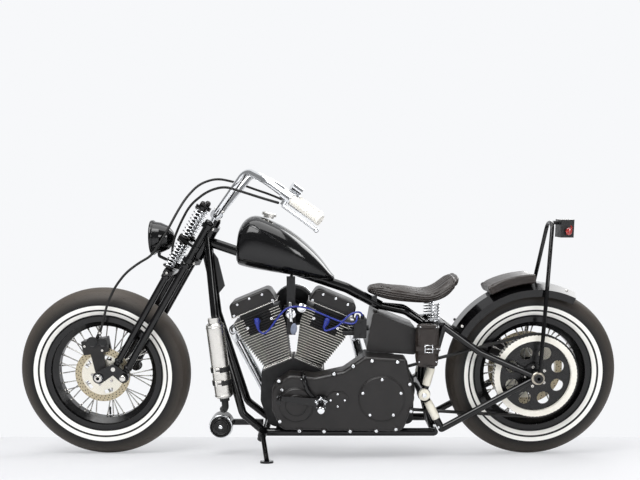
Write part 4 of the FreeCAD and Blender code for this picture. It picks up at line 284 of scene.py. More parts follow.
def ribbed_lens(name, colour, roughness, ribs_per_metre, direction, shaded_hollow, lit_ridge, **sockets):
    """Moulded lens with fine flutes that run one way, lighter on their ridges and darker in their hollows:
    painted highlight and painted shade on the flutes.
    """
    material, node, shader, place = start_finish(name, colour, roughness, Coat_Weight=1.0, **sockets)
    ribs = node("TexWave", {"Vector": place, "Scale": ribs_per_metre}, "Fac", bands_direction=direction)
    # Painted highlight on the ridges and painted shade in the hollows of the flutes
    link(node("Mix", {0: ribs, 6: linear(shaded_hollow), 7: linear(lit_ridge)}, MIXED_COLOUR, data_type="RGBA"), shader,
         "Base Color")
    link(node("Bump", {"Height": ribs, "Distance": 0.3 * MM, "Strength": 0.5}), shader, "Normal")
    return material


def smoked_lens():
    """Smoked lamp glass over a dark reflector."""
    return ribbed_lens("smoked lamp glass", "#2A2C2F", 0.05, 60.0, "Y", "#202225", "#4A4D50",
                       Coat_Roughness=0.02)


def red_lens():
    """Moulded red acrylic."""
    return ribbed_lens("red acrylic lens", "#8E1512", 0.12, 70.0, "Z", "#7A100E", settings().tail_lens)


# The cylinders, in mm up from the crank: where the fins start, their pitch and bright edge, where the
# head starts and where it ends, and the half width of the fins at the start and at the head
FIN_START, FIN_PITCH, FIN_EDGE, HEAD_START, HEAD_END = 158, 9.8, 2.2, 292, 372
BARREL_HALF, HEAD_HALF, FINS_REACH, PLUG_REACH = 56, 74, 93.5, 52


def machined_fins():
    """Black cylinder whose fin edges were machined bare, so that they shine as thin bright lines."""
    material, node, shader, place = start_finish("black fins with machined edges", "#080809", 0.42,
                                                 Specular_IOR_Level=0.35)
    masks = []
    for matrix in (FRONT_CYLINDER, REAR_CYLINDER):
        x, y, z = own_axes(node, place, matrix)
        step = ("DIVIDE", ("SUBTRACT", z, FIN_START * MM), FIN_PITCH * MM)
        line = ("LESS_THAN", ("FRACT", step), FIN_EDGE / FIN_PITCH)
        flank = node("MapRange", (z, FIN_START * MM, HEAD_START * MM, BARREL_HALF * MM, HEAD_HALF * MM))
        outer = ("GREATER_THAN", ("ABSOLUTE", y), ("SUBTRACT", flank, 0.6 * MM))
        near = ("LESS_THAN", ("ABSOLUTE", x), FINS_REACH * MM)
        # The middle of the head, round the spark plug, has no machined edges
        plug = ("MULTIPLY", ("LESS_THAN", ("ABSOLUTE", x), PLUG_REACH * MM),
                ("GREATER_THAN", z, HEAD_START * MM))
        below = ("MULTIPLY", ("LESS_THAN", z, HEAD_END * MM), ("SUBTRACT", 1.0, plug))
        masks.append(("MULTIPLY", ("MULTIPLY", line, outer), ("MULTIPLY", near, below)))
    mask = node("Math", masks, operation="MAXIMUM")
    link(node("Mix", {0: mask, 6: linear("#080809"), 7: linear("#C9C6BE")}, MIXED_COLOUR, data_type="RGBA"),
         shader, "Base Color")
    link(mask, shader, "Metallic")
    link(node("MapRange", (mask, 0, 1, 0.42, 0.24)), shader, "Roughness")
    return material


# The tyres, in mm from the axle: two white bands, where the road greys the rubber, and the tread
WHITE_BANDS = ((226.5, 240.5), (247.5, 262.5))
RUBBED_FROM, RUBBED_TO, SHOULDER, FLANK, CROWN_START = 268, 312, (288, 302), (266, 288), 299.5
SIDEWALL_START, GROOVE_PITCH, ZIGZAG, LINE_PITCH = 40, 12.5, 6, 6.2
ZIGZAGS, SIPES = 24, 40


def whitewall_tyre(name, matrix):
    """Tyre rubber with two white rings on each sidewall and a zigzag road tread."""
    material, node, shader, place = start_finish(name, "#121212", 0.56, Specular_IOR_Level=0.38)
    reach, angle, across = round_axle(node, place, matrix)
    bands = ("ADD", *(between(node, reach, *band) for band in WHITE_BANDS))
    wall = ("GREATER_THAN", ("ABSOLUTE", across), SIDEWALL_START * MM)
    white = node("Math", [bands, wall], operation="MULTIPLY", use_clamp=True)
    worn = node("MapRange", (reach, RUBBED_FROM * MM, RUBBED_TO * MM, 0, 1))
    black = node("Mix", {0: worn, 6: linear("#0E0E0E"), 7: linear("#46403A")}, MIXED_COLOUR, data_type="RGBA")
    link(node("Mix", {0: white, 6: black, 7: settings().whitewall}, MIXED_COLOUR, data_type="RGBA"),
         shader, "Base Color")
    link(node("MapRange", (white, 0, 1, 0.62, 0.45)), shader, "Roughness")
    # Zigzag grooves round the crown, sipes on the shoulder and fine lines on the flank
    swing = ("MULTIPLY", ("PINGPONG", ("MULTIPLY", angle, ZIGZAGS), 1.0), ZIGZAG * MM)
    ribs = ("ADD", ("ABSOLUTE", across), swing)
    groove = ("LESS_THAN", ("FRACT", ("DIVIDE", ribs, GROOVE_PITCH * MM)), 0.2)
    sipe = ("LESS_THAN", ("FRACT", ("MULTIPLY", angle, SIPES / math.tau)), 0.16)
    line = ("LESS_THAN", ("FRACT", ("DIVIDE", reach, LINE_PITCH * MM)), 0.2)
    cut = ("ADD", ("MULTIPLY", groove, ("GREATER_THAN", reach, CROWN_START * MM)),
           ("ADD", ("MULTIPLY", sipe, between(node, reach, *SHOULDER)),
            ("MULTIPLY", ("MULTIPLY", line, between(node, reach, *FLANK)), 0.3)))
    link(node("Bump", {"Height": ("SUBTRACT", 1.0, cut), "Distance": 2 * MM, "Strength": 1.0}), shader,
         "Normal")
    return material


def black_rim_bright_spokes(name, matrix, hub_radius):
    """Lacquered black rim and hub with stainless spokes, which end 176 mm from the axle."""
    material, node, shader, place = start_finish(name, "#070708", 0.16, polish=(20, 4, 0.14, 0.28),
                                                 Specular_IOR_Level=0.42)
    reach, _, _ = round_axle(node, place, matrix)
    spoke = between(node, reach, hub_radius, 176, 0.6)
    link(node("Mix", {0: spoke, 6: linear("#070708"), 7: linear("#A9A8A4")}, MIXED_COLOUR, data_type="RGBA"),
         shader, "Base Color")
    link(spoke, shader, "Metallic")
    return material


def drilled_rotor(name, matrix, radius):
    """Ground rotor: warm drilled ring with turning lines round a paler polished carrier. The drillings are
    painted near black: painted shade for the dark seen through them.
    """
    material, node, shader, place = start_finish(name, "#B9B1A0", 0.3, 0.9)
    reach, angle, _ = round_axle(node, place, matrix)
    ring = node("Math", [reach, (radius - 25) * MM], operation="GREATER_THAN")
    # Three rows of 4.4 mm drillings, 8 mm apart and staggered, 36 to a row
    row = node("Math", [("SUBTRACT", reach, (radius - 24) * MM), 8 * MM], operation="DIVIDE")
    turn = ("ADD", ("MULTIPLY", angle, 36 / math.tau), ("MULTIPLY", ("FLOOR", row), 0.33))
    round_off = ("MULTIPLY", ("SUBTRACT", ("FRACT", turn), 0.5), radius / 46)
    out_off = ("SUBTRACT", ("FRACT", row), 0.5)
    apart = ("ADD", ("POWER", round_off, 2.0), ("POWER", out_off, 2.0))
    # The drillings' near black is painted shade, not the rotor's colour: it stands in for the dark seen through
    # each hole
    hole = ("MULTIPLY", ("LESS_THAN", apart, 0.075), ring)
    bare = node("Mix", {0: ring, 6: linear("#E3DFD2"), 7: linear("#B3A88F")}, MIXED_COLOUR, data_type="RGBA")
    link(node("Mix", {0: hole, 6: bare, 7: linear("#15130F")}, MIXED_COLOUR, data_type="RGBA"), shader,
         "Base Color")
    # Turning lines 1.5 mm apart
    link(node("MapRange", (("SINE", ("MULTIPLY", reach, 4200)), -1, 1, 0.26, 0.4)), shader, "Roughness")
    return material


# The pulley, in mm from the axle: where its cream face and its teeth start
PULLEY_FACE, PULLEY_TEETH, TEETH = 133.5, 155.3, 70


def belt_pulley(name, matrix):
    """Black web with a cream ring, and painted shade in the gaps between the teeth on its rim."""
    material, node, shader, place = start_finish(name, "#09090A", 0.28, polish=(15, 3, 0.22, 0.34),
                                                 Specular_IOR_Level=0.42)
    reach, angle, _ = round_axle(node, place, matrix)
    # The gaps between the teeth are painted near black: painted shade in the recesses between the cream teeth
    shaded_gap = ("LESS_THAN", ("FRACT", ("MULTIPLY", angle, TEETH / math.tau)), 0.45)
    dark = ("MULTIPLY", ("GREATER_THAN", reach, PULLEY_TEETH * MM), shaded_gap)
    pale = node("Math", [("GREATER_THAN", reach, PULLEY_FACE * MM), dark], operation="SUBTRACT", use_clamp=True)
    link(node("Mix", {0: pale, 6: linear("#09090A"), 7: linear("#E9E6DC")}, MIXED_COLOUR, data_type="RGBA"),
         shader, "Base Color")
    return material


# Studio white, and how far behind the machine the floor's paint ends and the white cove starts, in metres
STUDIO_WHITE = "#F7F8FA"
COVE_START = 0.66


def plain_floor():
    """Pale studio floor, faintly clouded, that the camera sees a little brighter than it is lit."""
    material, node, shader, place = start_finish("pale studio floor", "#E4E4E6", 0.75,
                                                 shades=(900, 3, "#DFDFE2", "#E9E9EA"))
    painted = shader.outputs[0]
    pale, white = (node("Emission", {"Color": linear(colour), "Strength": 1.0}) for colour in ("#E3E4E7",
                                                                                               STUDIO_WHITE))
    camera_ray = node("LightPath", output="Is Camera Ray")
    _, y, _ = node("SeparateXYZ", [place], slice(3))
    lifted = node("MixShader", [0.55, painted, pale])
    front = node("MixShader", [camera_ray, painted, lifted])
    seen_cove = ("MULTIPLY", camera_ray, ("GREATER_THAN", y, COVE_START))
    link(node("MixShader", [seen_cove, front, white]), material.node_tree.nodes["Material Output"], "Surface")
    return material


def white_backdrop():
    """White wall that the camera and the metal both see as white."""
    material, node, shader, _ = start_finish("white studio wall", "#F2F2F4", 0.8)
    camera_ray, glossy_ray, glass_ray = (node("LightPath", output="Is %s Ray" % kind)
                                         for kind in ("Camera", "Glossy", "Transmission"))
    seen = ("MAXIMUM", camera_ray, ("MAXIMUM", glossy_ray, glass_ray))
    glow = node("Emission", {"Color": linear(STUDIO_WHITE), "Strength": 1.0})
    link(node("MixShader", [seen, shader.outputs[0], glow]), material.node_tree.nodes["Material Output"],
         "Surface")
    return material


FINISHES = {}
MAKERS = {
    "enamel": gloss_black_enamel, "powder": satin_black_powder, "wrinkle": wrinkle_black, "fins": machined_fins,
    "chrome": chrome_plate, "alloy": polished_alloy, "steel": ground_steel, "rubber": black_rubber,
    "plastic": black_plastic, "white": white_rubber, "cream": cream_enamel, "leather": black_leather,
    "lens": smoked_lens, "red": red_lens, "blue": blue_silicone, "fob": fob_plastic,
    "floor": plain_floor, "wall": white_backdrop,
    "front_tyre": partial(whitewall_tyre, "front whitewall rubber", FRONT_WHEEL),
    "rear_tyre": partial(whitewall_tyre, "rear whitewall rubber", REAR_WHEEL),
    "front_rim": partial(black_rim_bright_spokes, "front rim lacquer and spokes", FRONT_WHEEL, 44),
    "rear_rim": partial(black_rim_bright_spokes, "rear rim lacquer and spokes", REAR_WHEEL, 52),
    "front_disc": partial(drilled_rotor, "front drilled rotor", FRONT_WHEEL, 104),
    "rear_disc": partial(drilled_rotor, "rear drilled rotor", REAR_WHEEL, 146),
    "pulley": partial(belt_pulley, "cream and black pulley", REAR_WHEEL),
}


def finish(name):
    """A material by its short name, made once."""
    if name not in FINISHES:
        FINISHES[name] = MAKERS[name]()
    return FINISHES[name]


NODE_FINISHES = {
    "enamel": ["frame", "swingarm", "fuel_tank", "rear_fender", "sissy_bar", "triple_clamps", "rear_legs",
               "front_legs", "rockers", "headlamp", "horn", "side_stand", "rear_axle", "left_foot_controls",
               "right_foot_controls"],
    "powder": ["oil_tank", "primary_cover", "front_rocker_box", "rear_rocker_box", "front_brake", "rear_brake"],
    "wrinkle": ["crankcase", "gearbox", "carburettor"],
    "fins": ["front_cylinder", "rear_cylinder"],
    "chrome": ["pushrod_tubes", "cam_cover", "exhaust_pipes", "handlebar", "hand_controls", "seat_springs",
               "fork_springs", "front_axle"],
    "alloy": ["canister", "filler_cap"],
    "rubber": ["drive_belt", "brake_hose", "clutch_cable"],
    "plastic": ["ignition_coil", "switch_panel", "tail_lamp"],
    "white": ["grips"],
    "leather": ["tool_bag", "solo_seat", "pillion_pad"],
    "lens": ["headlamp_lens"],
    "front_tyre": ["front_tyre"], "rear_tyre": ["rear_tyre"],
    "front_rim": ["front_rim"], "rear_rim": ["rear_rim"],
    "front_disc": ["front_disc"], "rear_disc": ["rear_disc"], "pulley": ["rear_pulley"],
}


# Mesh helpers. A piece is drawn in millimetres in one of the frames above, then placed in its mesh
def put_in_scene(name, data):
    """New object in the scene, at its origin."""
    item = bpy.data.objects.new(name, data)
    bpy.context.scene.collection.objects.link(item)
    return item


def moved(x, y, z):
    """Matrix that only moves."""
    return Matrix.Translation((x, y, z))


def facing(side, x, y, z):
    """Matrix at a place, whose Z points out on one side of the machine."""
    return moved(x, y, z) @ Matrix.Rotation(math.radians(-90 * side), 4, "X")


def settle(bm, name, matrix, body, material, smooth=True, segments=0, width=0.0):
    """Finish a bmesh as a piece that rides on a body."""
    bmesh.ops.remove_doubles(bm, verts=bm.verts, dist=0.0005)
    bmesh.ops.recalc_face_normals(bm, faces=bm.faces)
    mesh = bpy.data.meshes.new(name)
    bm.transform(matrix)
    bm.to_mesh(mesh)
    bm.free()
    if smooth:
        mesh.shade_smooth()
    piece = put_in_scene(name, mesh)
    mesh.materials.append(finish(material))
    if segments:
        bevel = piece.modifiers.new("edges", "BEVEL")
        bevel.width = width * MM
        bevel.segments = segments
        bevel.limit_method = "ANGLE"
        bevel.harden_normals = True
    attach(piece, body)
    return piece


def aim(start, end):
    """Matrix that takes Z to the way from start to end, at their middle."""
    start, end = Vector(start), Vector(end)
    turn = (end - start).to_track_quat("Z", "Y").to_matrix().to_4x4()
    return Matrix.Translation((start + end) / 2) @ turn


def add_rod(bm, start, end, radius, tip=None, sides=16):
    """Round bar or cone between two places."""
    bmesh.ops.create_cone(bm, cap_ends=True, segments=sides, radius1=radius,
                          radius2=radius if tip is None else tip, depth=(Vector(end) - Vector(start)).length,
                          matrix=aim(start, end))


def add_bolt(bm, head, inward, radius, height):
    """Hexagon-socket bolt head with a dished crown."""
    inward = Vector(inward).normalized()
    head = Vector(head)
    rings = [(radius, 0), (radius, 0.75), (radius * 0.86, 1.0), (radius * 0.5, 1.0), (radius * 0.46, 0.45)]
    turn = (-inward).to_track_quat("Z", "Y").to_matrix().to_4x4()
    before = None
    for reach, share in rings:
        loop = bmesh.ops.create_circle(bm, segments=12, radius=reach, cap_ends=reach < radius * 0.47,
                                       matrix=Matrix.Translation(head - inward * height * share)
                                       @ turn)["verts"]
        edges = list({edge for vert in loop for edge in vert.link_edges if all(v in loop for v in edge.verts)})
        if before:
            bmesh.ops.bridge_loops(bm, edges=before + edges)
        before = edges


def add_bolt_ring(bm, middle, reach, count, first, side, radius, height):
    """Bolts round an axle that crosses the machine. They face out on one side, the first at so many degrees."""
    for index in range(count):
        angle = math.radians(first) + math.tau * index / count
        spot = Vector(middle) + Vector((reach * math.cos(angle), 0, reach * math.sin(angle)))
        add_bolt(bm, spot, (0, -side, 0), radius, height)


def add_lathe(bm, profile, matrix, steps=32):
    """Turned shape from (radius, height) points about Z."""
    verts = [bm.verts.new((radius, 0, height)) for radius, height in profile]
    edges = [bm.edges.new(pair) for pair in zip(verts, verts[1:])]
    found = bmesh.ops.spin(bm, geom=verts + edges, cent=(0, 0, 0), axis=(0, 0, 1), angle=math.tau, steps=steps,
                           use_merge=True)
    made = {item for item in found["geom_last"] if isinstance(item, bmesh.types.BMVert)} | set(verts)
    seen, queue = set(made), list(made)
    while queue:
        for edge in queue.pop().link_edges:
            for vert in edge.verts:
                if vert not in seen:
                    seen.add(vert)
                    queue.append(vert)
    bmesh.ops.transform(bm, matrix=matrix, verts=list(seen))
    return list(seen)


def add_box(bm, middle, size, matrix=Matrix()):
    """Block by its middle and its three sizes, for a bevel to finish."""
    bmesh.ops.create_cube(bm, size=1, matrix=matrix @ Matrix.Translation(middle) @ Matrix.Diagonal((*size, 1)))


def add_tube(bm, points, radius, cyclic=False):
    """Smooth round tube through a few control points."""
    curve = bpy.data.curves.new("tube", "CURVE")
    curve.dimensions = "3D"
    curve.bevel_depth = radius
    curve.bevel_resolution = 3
    curve.use_fill_caps = not cyclic
    spline = curve.splines.new("NURBS")
    spline.points.add(len(points) - 1)
    for point, place in zip(spline.points, points):
        point.co = (*place, 1)
    spline.order_u = 3
    spline.use_cyclic_u = cyclic
    spline.use_endpoint_u = not cyclic
    spline.resolution_u = 10
    holder = bpy.data.objects.new("tube", curve)
    mesh = bpy.data.meshes.new_from_object(holder)
    bm.from_mesh(mesh)
    bpy.data.meshes.remove(mesh)
    bpy.data.objects.remove(holder)
    bpy.data.curves.remove(curve)


def settings():
    """The scene's own sizes and colours for this object."""
    return bpy.context.scene.motorcycle


COLOUR = {"size": 4, "subtype": "COLOR", "min": 0, "max": 1}


class MOTORCYCLE_PG_sizes(bpy.types.PropertyGroup):
    """Sizes and colours that a user would change"""
    enamel: FloatVectorProperty(name="Enamel", description="Gloss enamel of the tank, frame and fork",
                                default=linear("#070708"), **COLOUR)
    leather: FloatVectorProperty(name="Leather", description="Hide of the seat, pad and bag",
                                 default=linear("#171412"), **COLOUR)
    worn_leather: FloatVectorProperty(name="Worn leather", description="The hide where it is rubbed",
                                      default=linear("#332B27"), **COLOUR)
    whitewall: FloatVectorProperty(name="Whitewall", description="Bands on the tyres' sides",
                                   default=linear("#F2F1EC"), **COLOUR)
    plug_boots: FloatVectorProperty(name="Plug leads", description="Silicone of the plug leads and boots",
                                    default=linear("#2A3CA6"), **COLOUR)
    # The tail lens colour is the lighter colour on the red lens's ridges, a painted highlight
    tail_lens: FloatVectorProperty(name="Tail lens", description="Acrylic of the tail lamp",
                                   default=linear("#B0302A"), **COLOUR)
    nipple_radius: FloatProperty(name="Nipple radius", description="Spoke nipple at the rim",
                                 default=3.4 * MM, unit="LENGTH")
    bolt_radius: FloatProperty(name="Bolt radius", description="Heads of the primary cover's bolts",
                               default=6.5 * MM, unit="LENGTH")
    pleats: IntProperty(name="Seat pleats",
                        description="Sewn channels over the seat, from one side to the other", default=11,
                        min=3, max=21)
    pleat_depth: FloatProperty(name="Pleat depth", description="Depth of the seat's channels",
                               default=4.2 * MM, unit="LENGTH")
    key_light: FloatProperty(name="Key light", description="Power of the large lamp over the left side",
                             default=150.0, unit="POWER")
    floor_size: FloatProperty(name="Floor size", description="Side of the square studio floor",
                              default=30.0, unit="LENGTH")


class MOTORCYCLE_OT_finishes(bpy.types.Operator):
    """Give every carried-over part its finish"""
    bl_idname = "motorcycle.finishes"
    bl_label = "Finishes"

    def execute(self, context):
        for name, nodes in NODE_FINISHES.items():
            for node in nodes:
                for slot in NODES[node].material_slots:
                    slot.link = "OBJECT"
                    slot.material = finish(name)
        return {"FINISHED"}


def wheel_trim(name, matrix, body, hub_flange, hub_reach):
    """Spoke nipples and valve of one wheel, and its hub bolts as a bmesh for more bolts to join."""
    bm = bmesh.new()
    radius = settings().nipple_radius / MM
    for side in (LEFT, RIGHT):
        for index in range(20):
            foot = math.tau * (index + (0.25 if side == RIGHT else -0.25)) / 20
            turn = foot + math.tau * (1.9 if index % 2 else -1.9) / 20
            hole = Vector((hub_flange * math.cos(foot), side * 31, -hub_flange * math.sin(foot)))
            end = Vector((182 * math.cos(turn), side * 8, -182 * math.sin(turn)))
            way = (hole - end).normalized()
            add_rod(bm, end, end + way * 5, radius * 1.25, radius * 1.25, 10)
            add_rod(bm, end + way * 5, end + way * 17, radius, radius * 0.8, 8)
            add_rod(bm, hole - Vector((0, side * 1, 0)), hole + Vector((0, side * 5, 0)), 3.6, 2.6, 10)
    settle(bm, name + "_nipples", matrix, body, "alloy")
    bm = bmesh.new()
    add_rod(bm, (0, 22, -178), (0, 22, -158), 4.2, 3.6, 14)
    add_rod(bm, (0, 22, -158), (0, 22, -148), 4.8, 4.2, 14)
    settle(bm, name + "_valve", matrix, body, "rubber")
    bm = bmesh.new()
    for side in (LEFT, RIGHT):
        add_bolt_ring(bm, (0, side * hub_reach, 0), 24, 5, 0, side, 4.5, 5)
    return bm


class MOTORCYCLE_OT_wheels(bpy.types.Operator):
    """Nipples, valves and hub bolts of both wheels, and the rockers' caps"""
    bl_idname = "motorcycle.wheels"
    bl_label = "Wheel trim"

    def execute(self, context):
        bm = wheel_trim("front_wheel", FRONT_WHEEL, "front_wheel", 37, 62)
        add_bolt_ring(bm, (0, -65, 0), 40, 5, 36, LEFT, 6, 5)
        settle(bm, "front_hub_bolts", FRONT_WHEEL, "front_wheel", "alloy", smooth=False)
        bm = wheel_trim("rear_wheel", REAR_WHEEL, "rear_wheel", 45, 70)
        add_bolt_ring(bm, (0, -100, 0), 38, 5, 36, LEFT, 6.5, 6)
        add_bolt_ring(bm, (0, 73, 0), 38, 5, 36, RIGHT, 6, 5)
        settle(bm, "rear_hub_bolts", REAR_WHEEL, "rear_wheel", "alloy", smooth=False)
        bm = bmesh.new()
        for side in (LEFT, RIGHT):
            add_lathe(bm, [(6.6, 0), (13.5, 0), (14, 1), (13, 4.5), (9, 6), (6.6, 6)],
                      facing(side, 0, side * 135.8, 0))
            add_lathe(bm, [(0, 0), (12, 0), (12.5, 1), (11, 5), (6, 6.4), (0, 6.8)],
                      facing(side, 78.8, side * 135.6, 46.4))
        settle(bm, "rocker_caps", FORK, "steering", "alloy")
        return {"FINISHED"}


class MOTORCYCLE_OT_fork(bpy.types.Operator):
    """Acorn nuts, spring cups, leg collars and bolts of the springer fork"""
    bl_idname = "motorcycle.fork"
    bl_label = "Fork trim"

    def execute(self, context):
        bm = bmesh.new()
        for side in (LEFT, RIGHT):
            y = side * 66
            for up in (482, 590, 609, 727):
                add_lathe(bm, [(8.5, 0), (20.2, 0), (20.8, 1), (20.8, 5), (19, 6.4), (8.5, 6.4)],
                          moved(18, y, up))
            add_lathe(bm, [(7.2, 0), (11, 0), (11, 9), (10.4, 14), (7, 18.5), (0, 20)], moved(18, y, 742.2))
        settle(bm, "spring_cups", FORK, "steering", "powder")
        bm = bmesh.new()
        for side in (LEFT, RIGHT):
            y = side * 100
            add_lathe(bm, [(13.2, 0), (19, 0), (20, 1), (20, 17), (19, 18), (13.2, 18)], moved(74, y, 519))
            add_lathe(bm, [(12.2, 0), (15.5, 0), (16.5, 1), (16.5, 13), (15.5, 14), (12.2, 14)],
                      moved(31, y, 447))
            add_lathe(bm, [(12.2, 0), (15, 0), (15, 9), (12.2, 10)], moved(31, y, 84))
            add_lathe(bm, [(13.2, 0), (16, 0), (16, 9), (13.2, 10)], moved(74, y, 76))
            add_lathe(bm, [(13.4, 0), (17, 0), (17, 10), (14, 15), (0, 17)], moved(74, y, 699.2))
        settle(bm, "leg_collars", FORK, "steering", "enamel")
        bm = bmesh.new()
        for side in (LEFT, RIGHT):
            for up in (548, 691):
                add_bolt(bm, (95.4, side * 100, up), (-1, 0, 0), 5, 5)
            add_bolt(bm, (31, side * 127.5, 472), (0, -side, 0), 5, 4)
            add_rod(bm, (31, side * 118, 55), (31, side * 126, 55), 9, 8, 18)
        add_lathe(bm, [(8, 0), (17, 0), (17.5, 1), (16, 8), (8, 11), (0, 12)], moved(82, 0, 719.2))
        settle(bm, "fork_bolts", FORK, "steering", "alloy", smooth=False)
        return {"FINISHED"}


class MOTORCYCLE_OT_brakes(bpy.types.Operator):
    """Piston caps, pad pins and hose unions of the calipers"""
    bl_idname = "motorcycle.brakes"
    bl_label = "Brake trim"

    def execute(self, context):
        bm = bmesh.new()
        for aft, up, radius in ((-86, 100, 19), (-52, 118, 15)):
            add_lathe(bm, [(radius, 0), (radius + 2.5, 0), (radius + 2.5, 5), (radius, 6.5), (radius - 3, 6.5),
                           (radius - 4, 4.5), (radius * 0.5, 4.5), (0, 5)], facing(LEFT, aft, -100, up))
        add_rod(bm, (-79, -92, 112), (-84, -88, 150), 6.5, 5.4, 16)
        settle(bm, "front_piston_caps", FORK, "steering", "plastic")
        bm = bmesh.new()
        for aft, up in ((-104, 72), (-40, 92), (-66, 66)):
            add_bolt(bm, (aft, -100 if up > 70 else -85, up), (0, 1, 0), 5, 5)
        add_lathe(bm, [(5.4, 0), (8, 0), (8, 7), (5.4, 8)], moved(-82, -87, 139))
        settle(bm, "front_caliper_bolts", FORK, "steering", "alloy", smooth=False)
        bm = bmesh.new()
        for x, z in ((-118, 70), (-138, 98)):
            add_bolt(bm, (x, 107.4, z), (0, -1, 0), 7, 3)
        settle(bm, "rear_caliper_bolts", REAR_WHEEL, "chassis", "alloy", smooth=False)
        return {"FINISHED"}


PRIMARY_BOLTS = [(-142, 330), (-132, 296), (-56, 338), (58, 356), (128, 384), (196, 404), (288, 400),
                 (334, 318), (340, 216), (286, 148), (214, 142), (118, 140), (22, 140), (-68, 142), (-140, 178)]


class MOTORCYCLE_OT_covers(bpy.types.Operator):
    """Bolts, rims and rings on the primary case, its covers and the cam cover"""
    bl_idname = "motorcycle.covers"
    bl_label = "Cover trim"

    def execute(self, context):
        radius = settings().bolt_radius / MM
        bm = bmesh.new()
        for x, z in PRIMARY_BOLTS:
            add_lathe(bm, [(0, -4), (radius + 4, -4), (radius + 4, 1.2), (radius + 2.4, 2), (0, 2)],
                      facing(LEFT, x, -196, z))
        add_lathe(bm, [(79, 0), (83.5, 0), (86, -1), (86, 2.2), (83.5, 3), (79, 3)],
                  facing(LEFT, 233, -196, 262))
        add_lathe(bm, [(58, 0), (66, -1), (66, 1.6), (64, 2.6), (58, 2.6)], facing(LEFT, -79, -196, 239))
        add_lathe(bm, [(0, 6.5), (38, 6.5), (40, 8.6), (36, 9.4), (0, 9.4)], facing(LEFT, -79, -196, 239))
        settle(bm, "cover_bosses", MACHINE, "chassis", "powder")
        bm = bmesh.new()
        for x, z in PRIMARY_BOLTS:
            add_bolt(bm, (x, -198, z), (0, 1, 0), radius, 6)
        add_bolt_ring(bm, (233, -203, 262), 73, 5, 90, LEFT, 5.6, 4)
        for x, z in ((46, 258), (98, 258), (72, 281), (72, 235)):
            add_bolt(bm, (x, -201, z), (0, 1, 0), 4.2, 3.5)
        add_bolt_ring(bm, (-86, 110.3, 236), 70, 6, 30, RIGHT, 5, 4)
        settle(bm, "cover_bolts", MACHINE, "chassis", "chrome", smooth=False)
        return {"FINISHED"}


class MOTORCYCLE_OT_heads(bpy.types.Operator):
    """Head and rocker box bolts, bright base and edge lines, and blue plug boots"""
    bl_idname = "motorcycle.heads"
    bl_label = "Cylinder trim"

    def execute(self, context):
        for name, matrix in (("front", FRONT_CYLINDER), ("rear", REAR_CYLINDER)):
            bm = bmesh.new()
            for side in (LEFT, RIGHT):
                for x, up in ((-78, 384), (78, 384), (-50, 418), (50, 418), (0, 422)):
                    add_bolt(bm, (x, side * 72, up), (0, -side, 0), 5, 5)
                for x in (-48, 48):
                    add_bolt(bm, (x, side * 74, 322), (0, -side, 0), 6, 7)
            settle(bm, name + "_head_bolts", matrix, "chassis", "chrome", smooth=False)
            bm = bmesh.new()
            add_box(bm, (0, 0, 153), (116, 120, 5))
            add_box(bm, (0, 0, 377), (187, 146.5, 2.4))
            settle(bm, name + "_bright_lines", matrix, "chassis", "alloy", smooth=False,
                   segments=2, width=0.6)
            bm = bmesh.new()
            add_box(bm, (0, 0, 387), (176, 145.6, 3))
            settle(bm, name + "_cover_joint", matrix, "chassis", "wrinkle", smooth=False,
                   segments=2, width=0.8)
            bm = bmesh.new()
            # The boot turns down from the plug, and its skirt has three ribs
            turn = moved(0, -102, 346) @ Matrix.Rotation(math.radians(196 if name == "front" else 180), 4, "Y")
            add_tube(bm, [(0, -84, 332), (0, -94, 334), (0, -102, 340)], 8.5)
            add_lathe(bm, [(0, 0), (7, 0), (9, 2), (9.5, 14), (8.5, 22), (6.4, 30), (5.6, 38), (3.7, 40),
                           (0, 40)], turn)
            for up in (5, 11, 17):
                add_lathe(bm, [(8.8, 0), (10.6, 0.8), (10.6, 2.2), (8.8, 3)], turn @ moved(0, 0, up))
            settle(bm, name + "_plug_boot", matrix, "chassis", "blue")
        return {"FINISHED"}


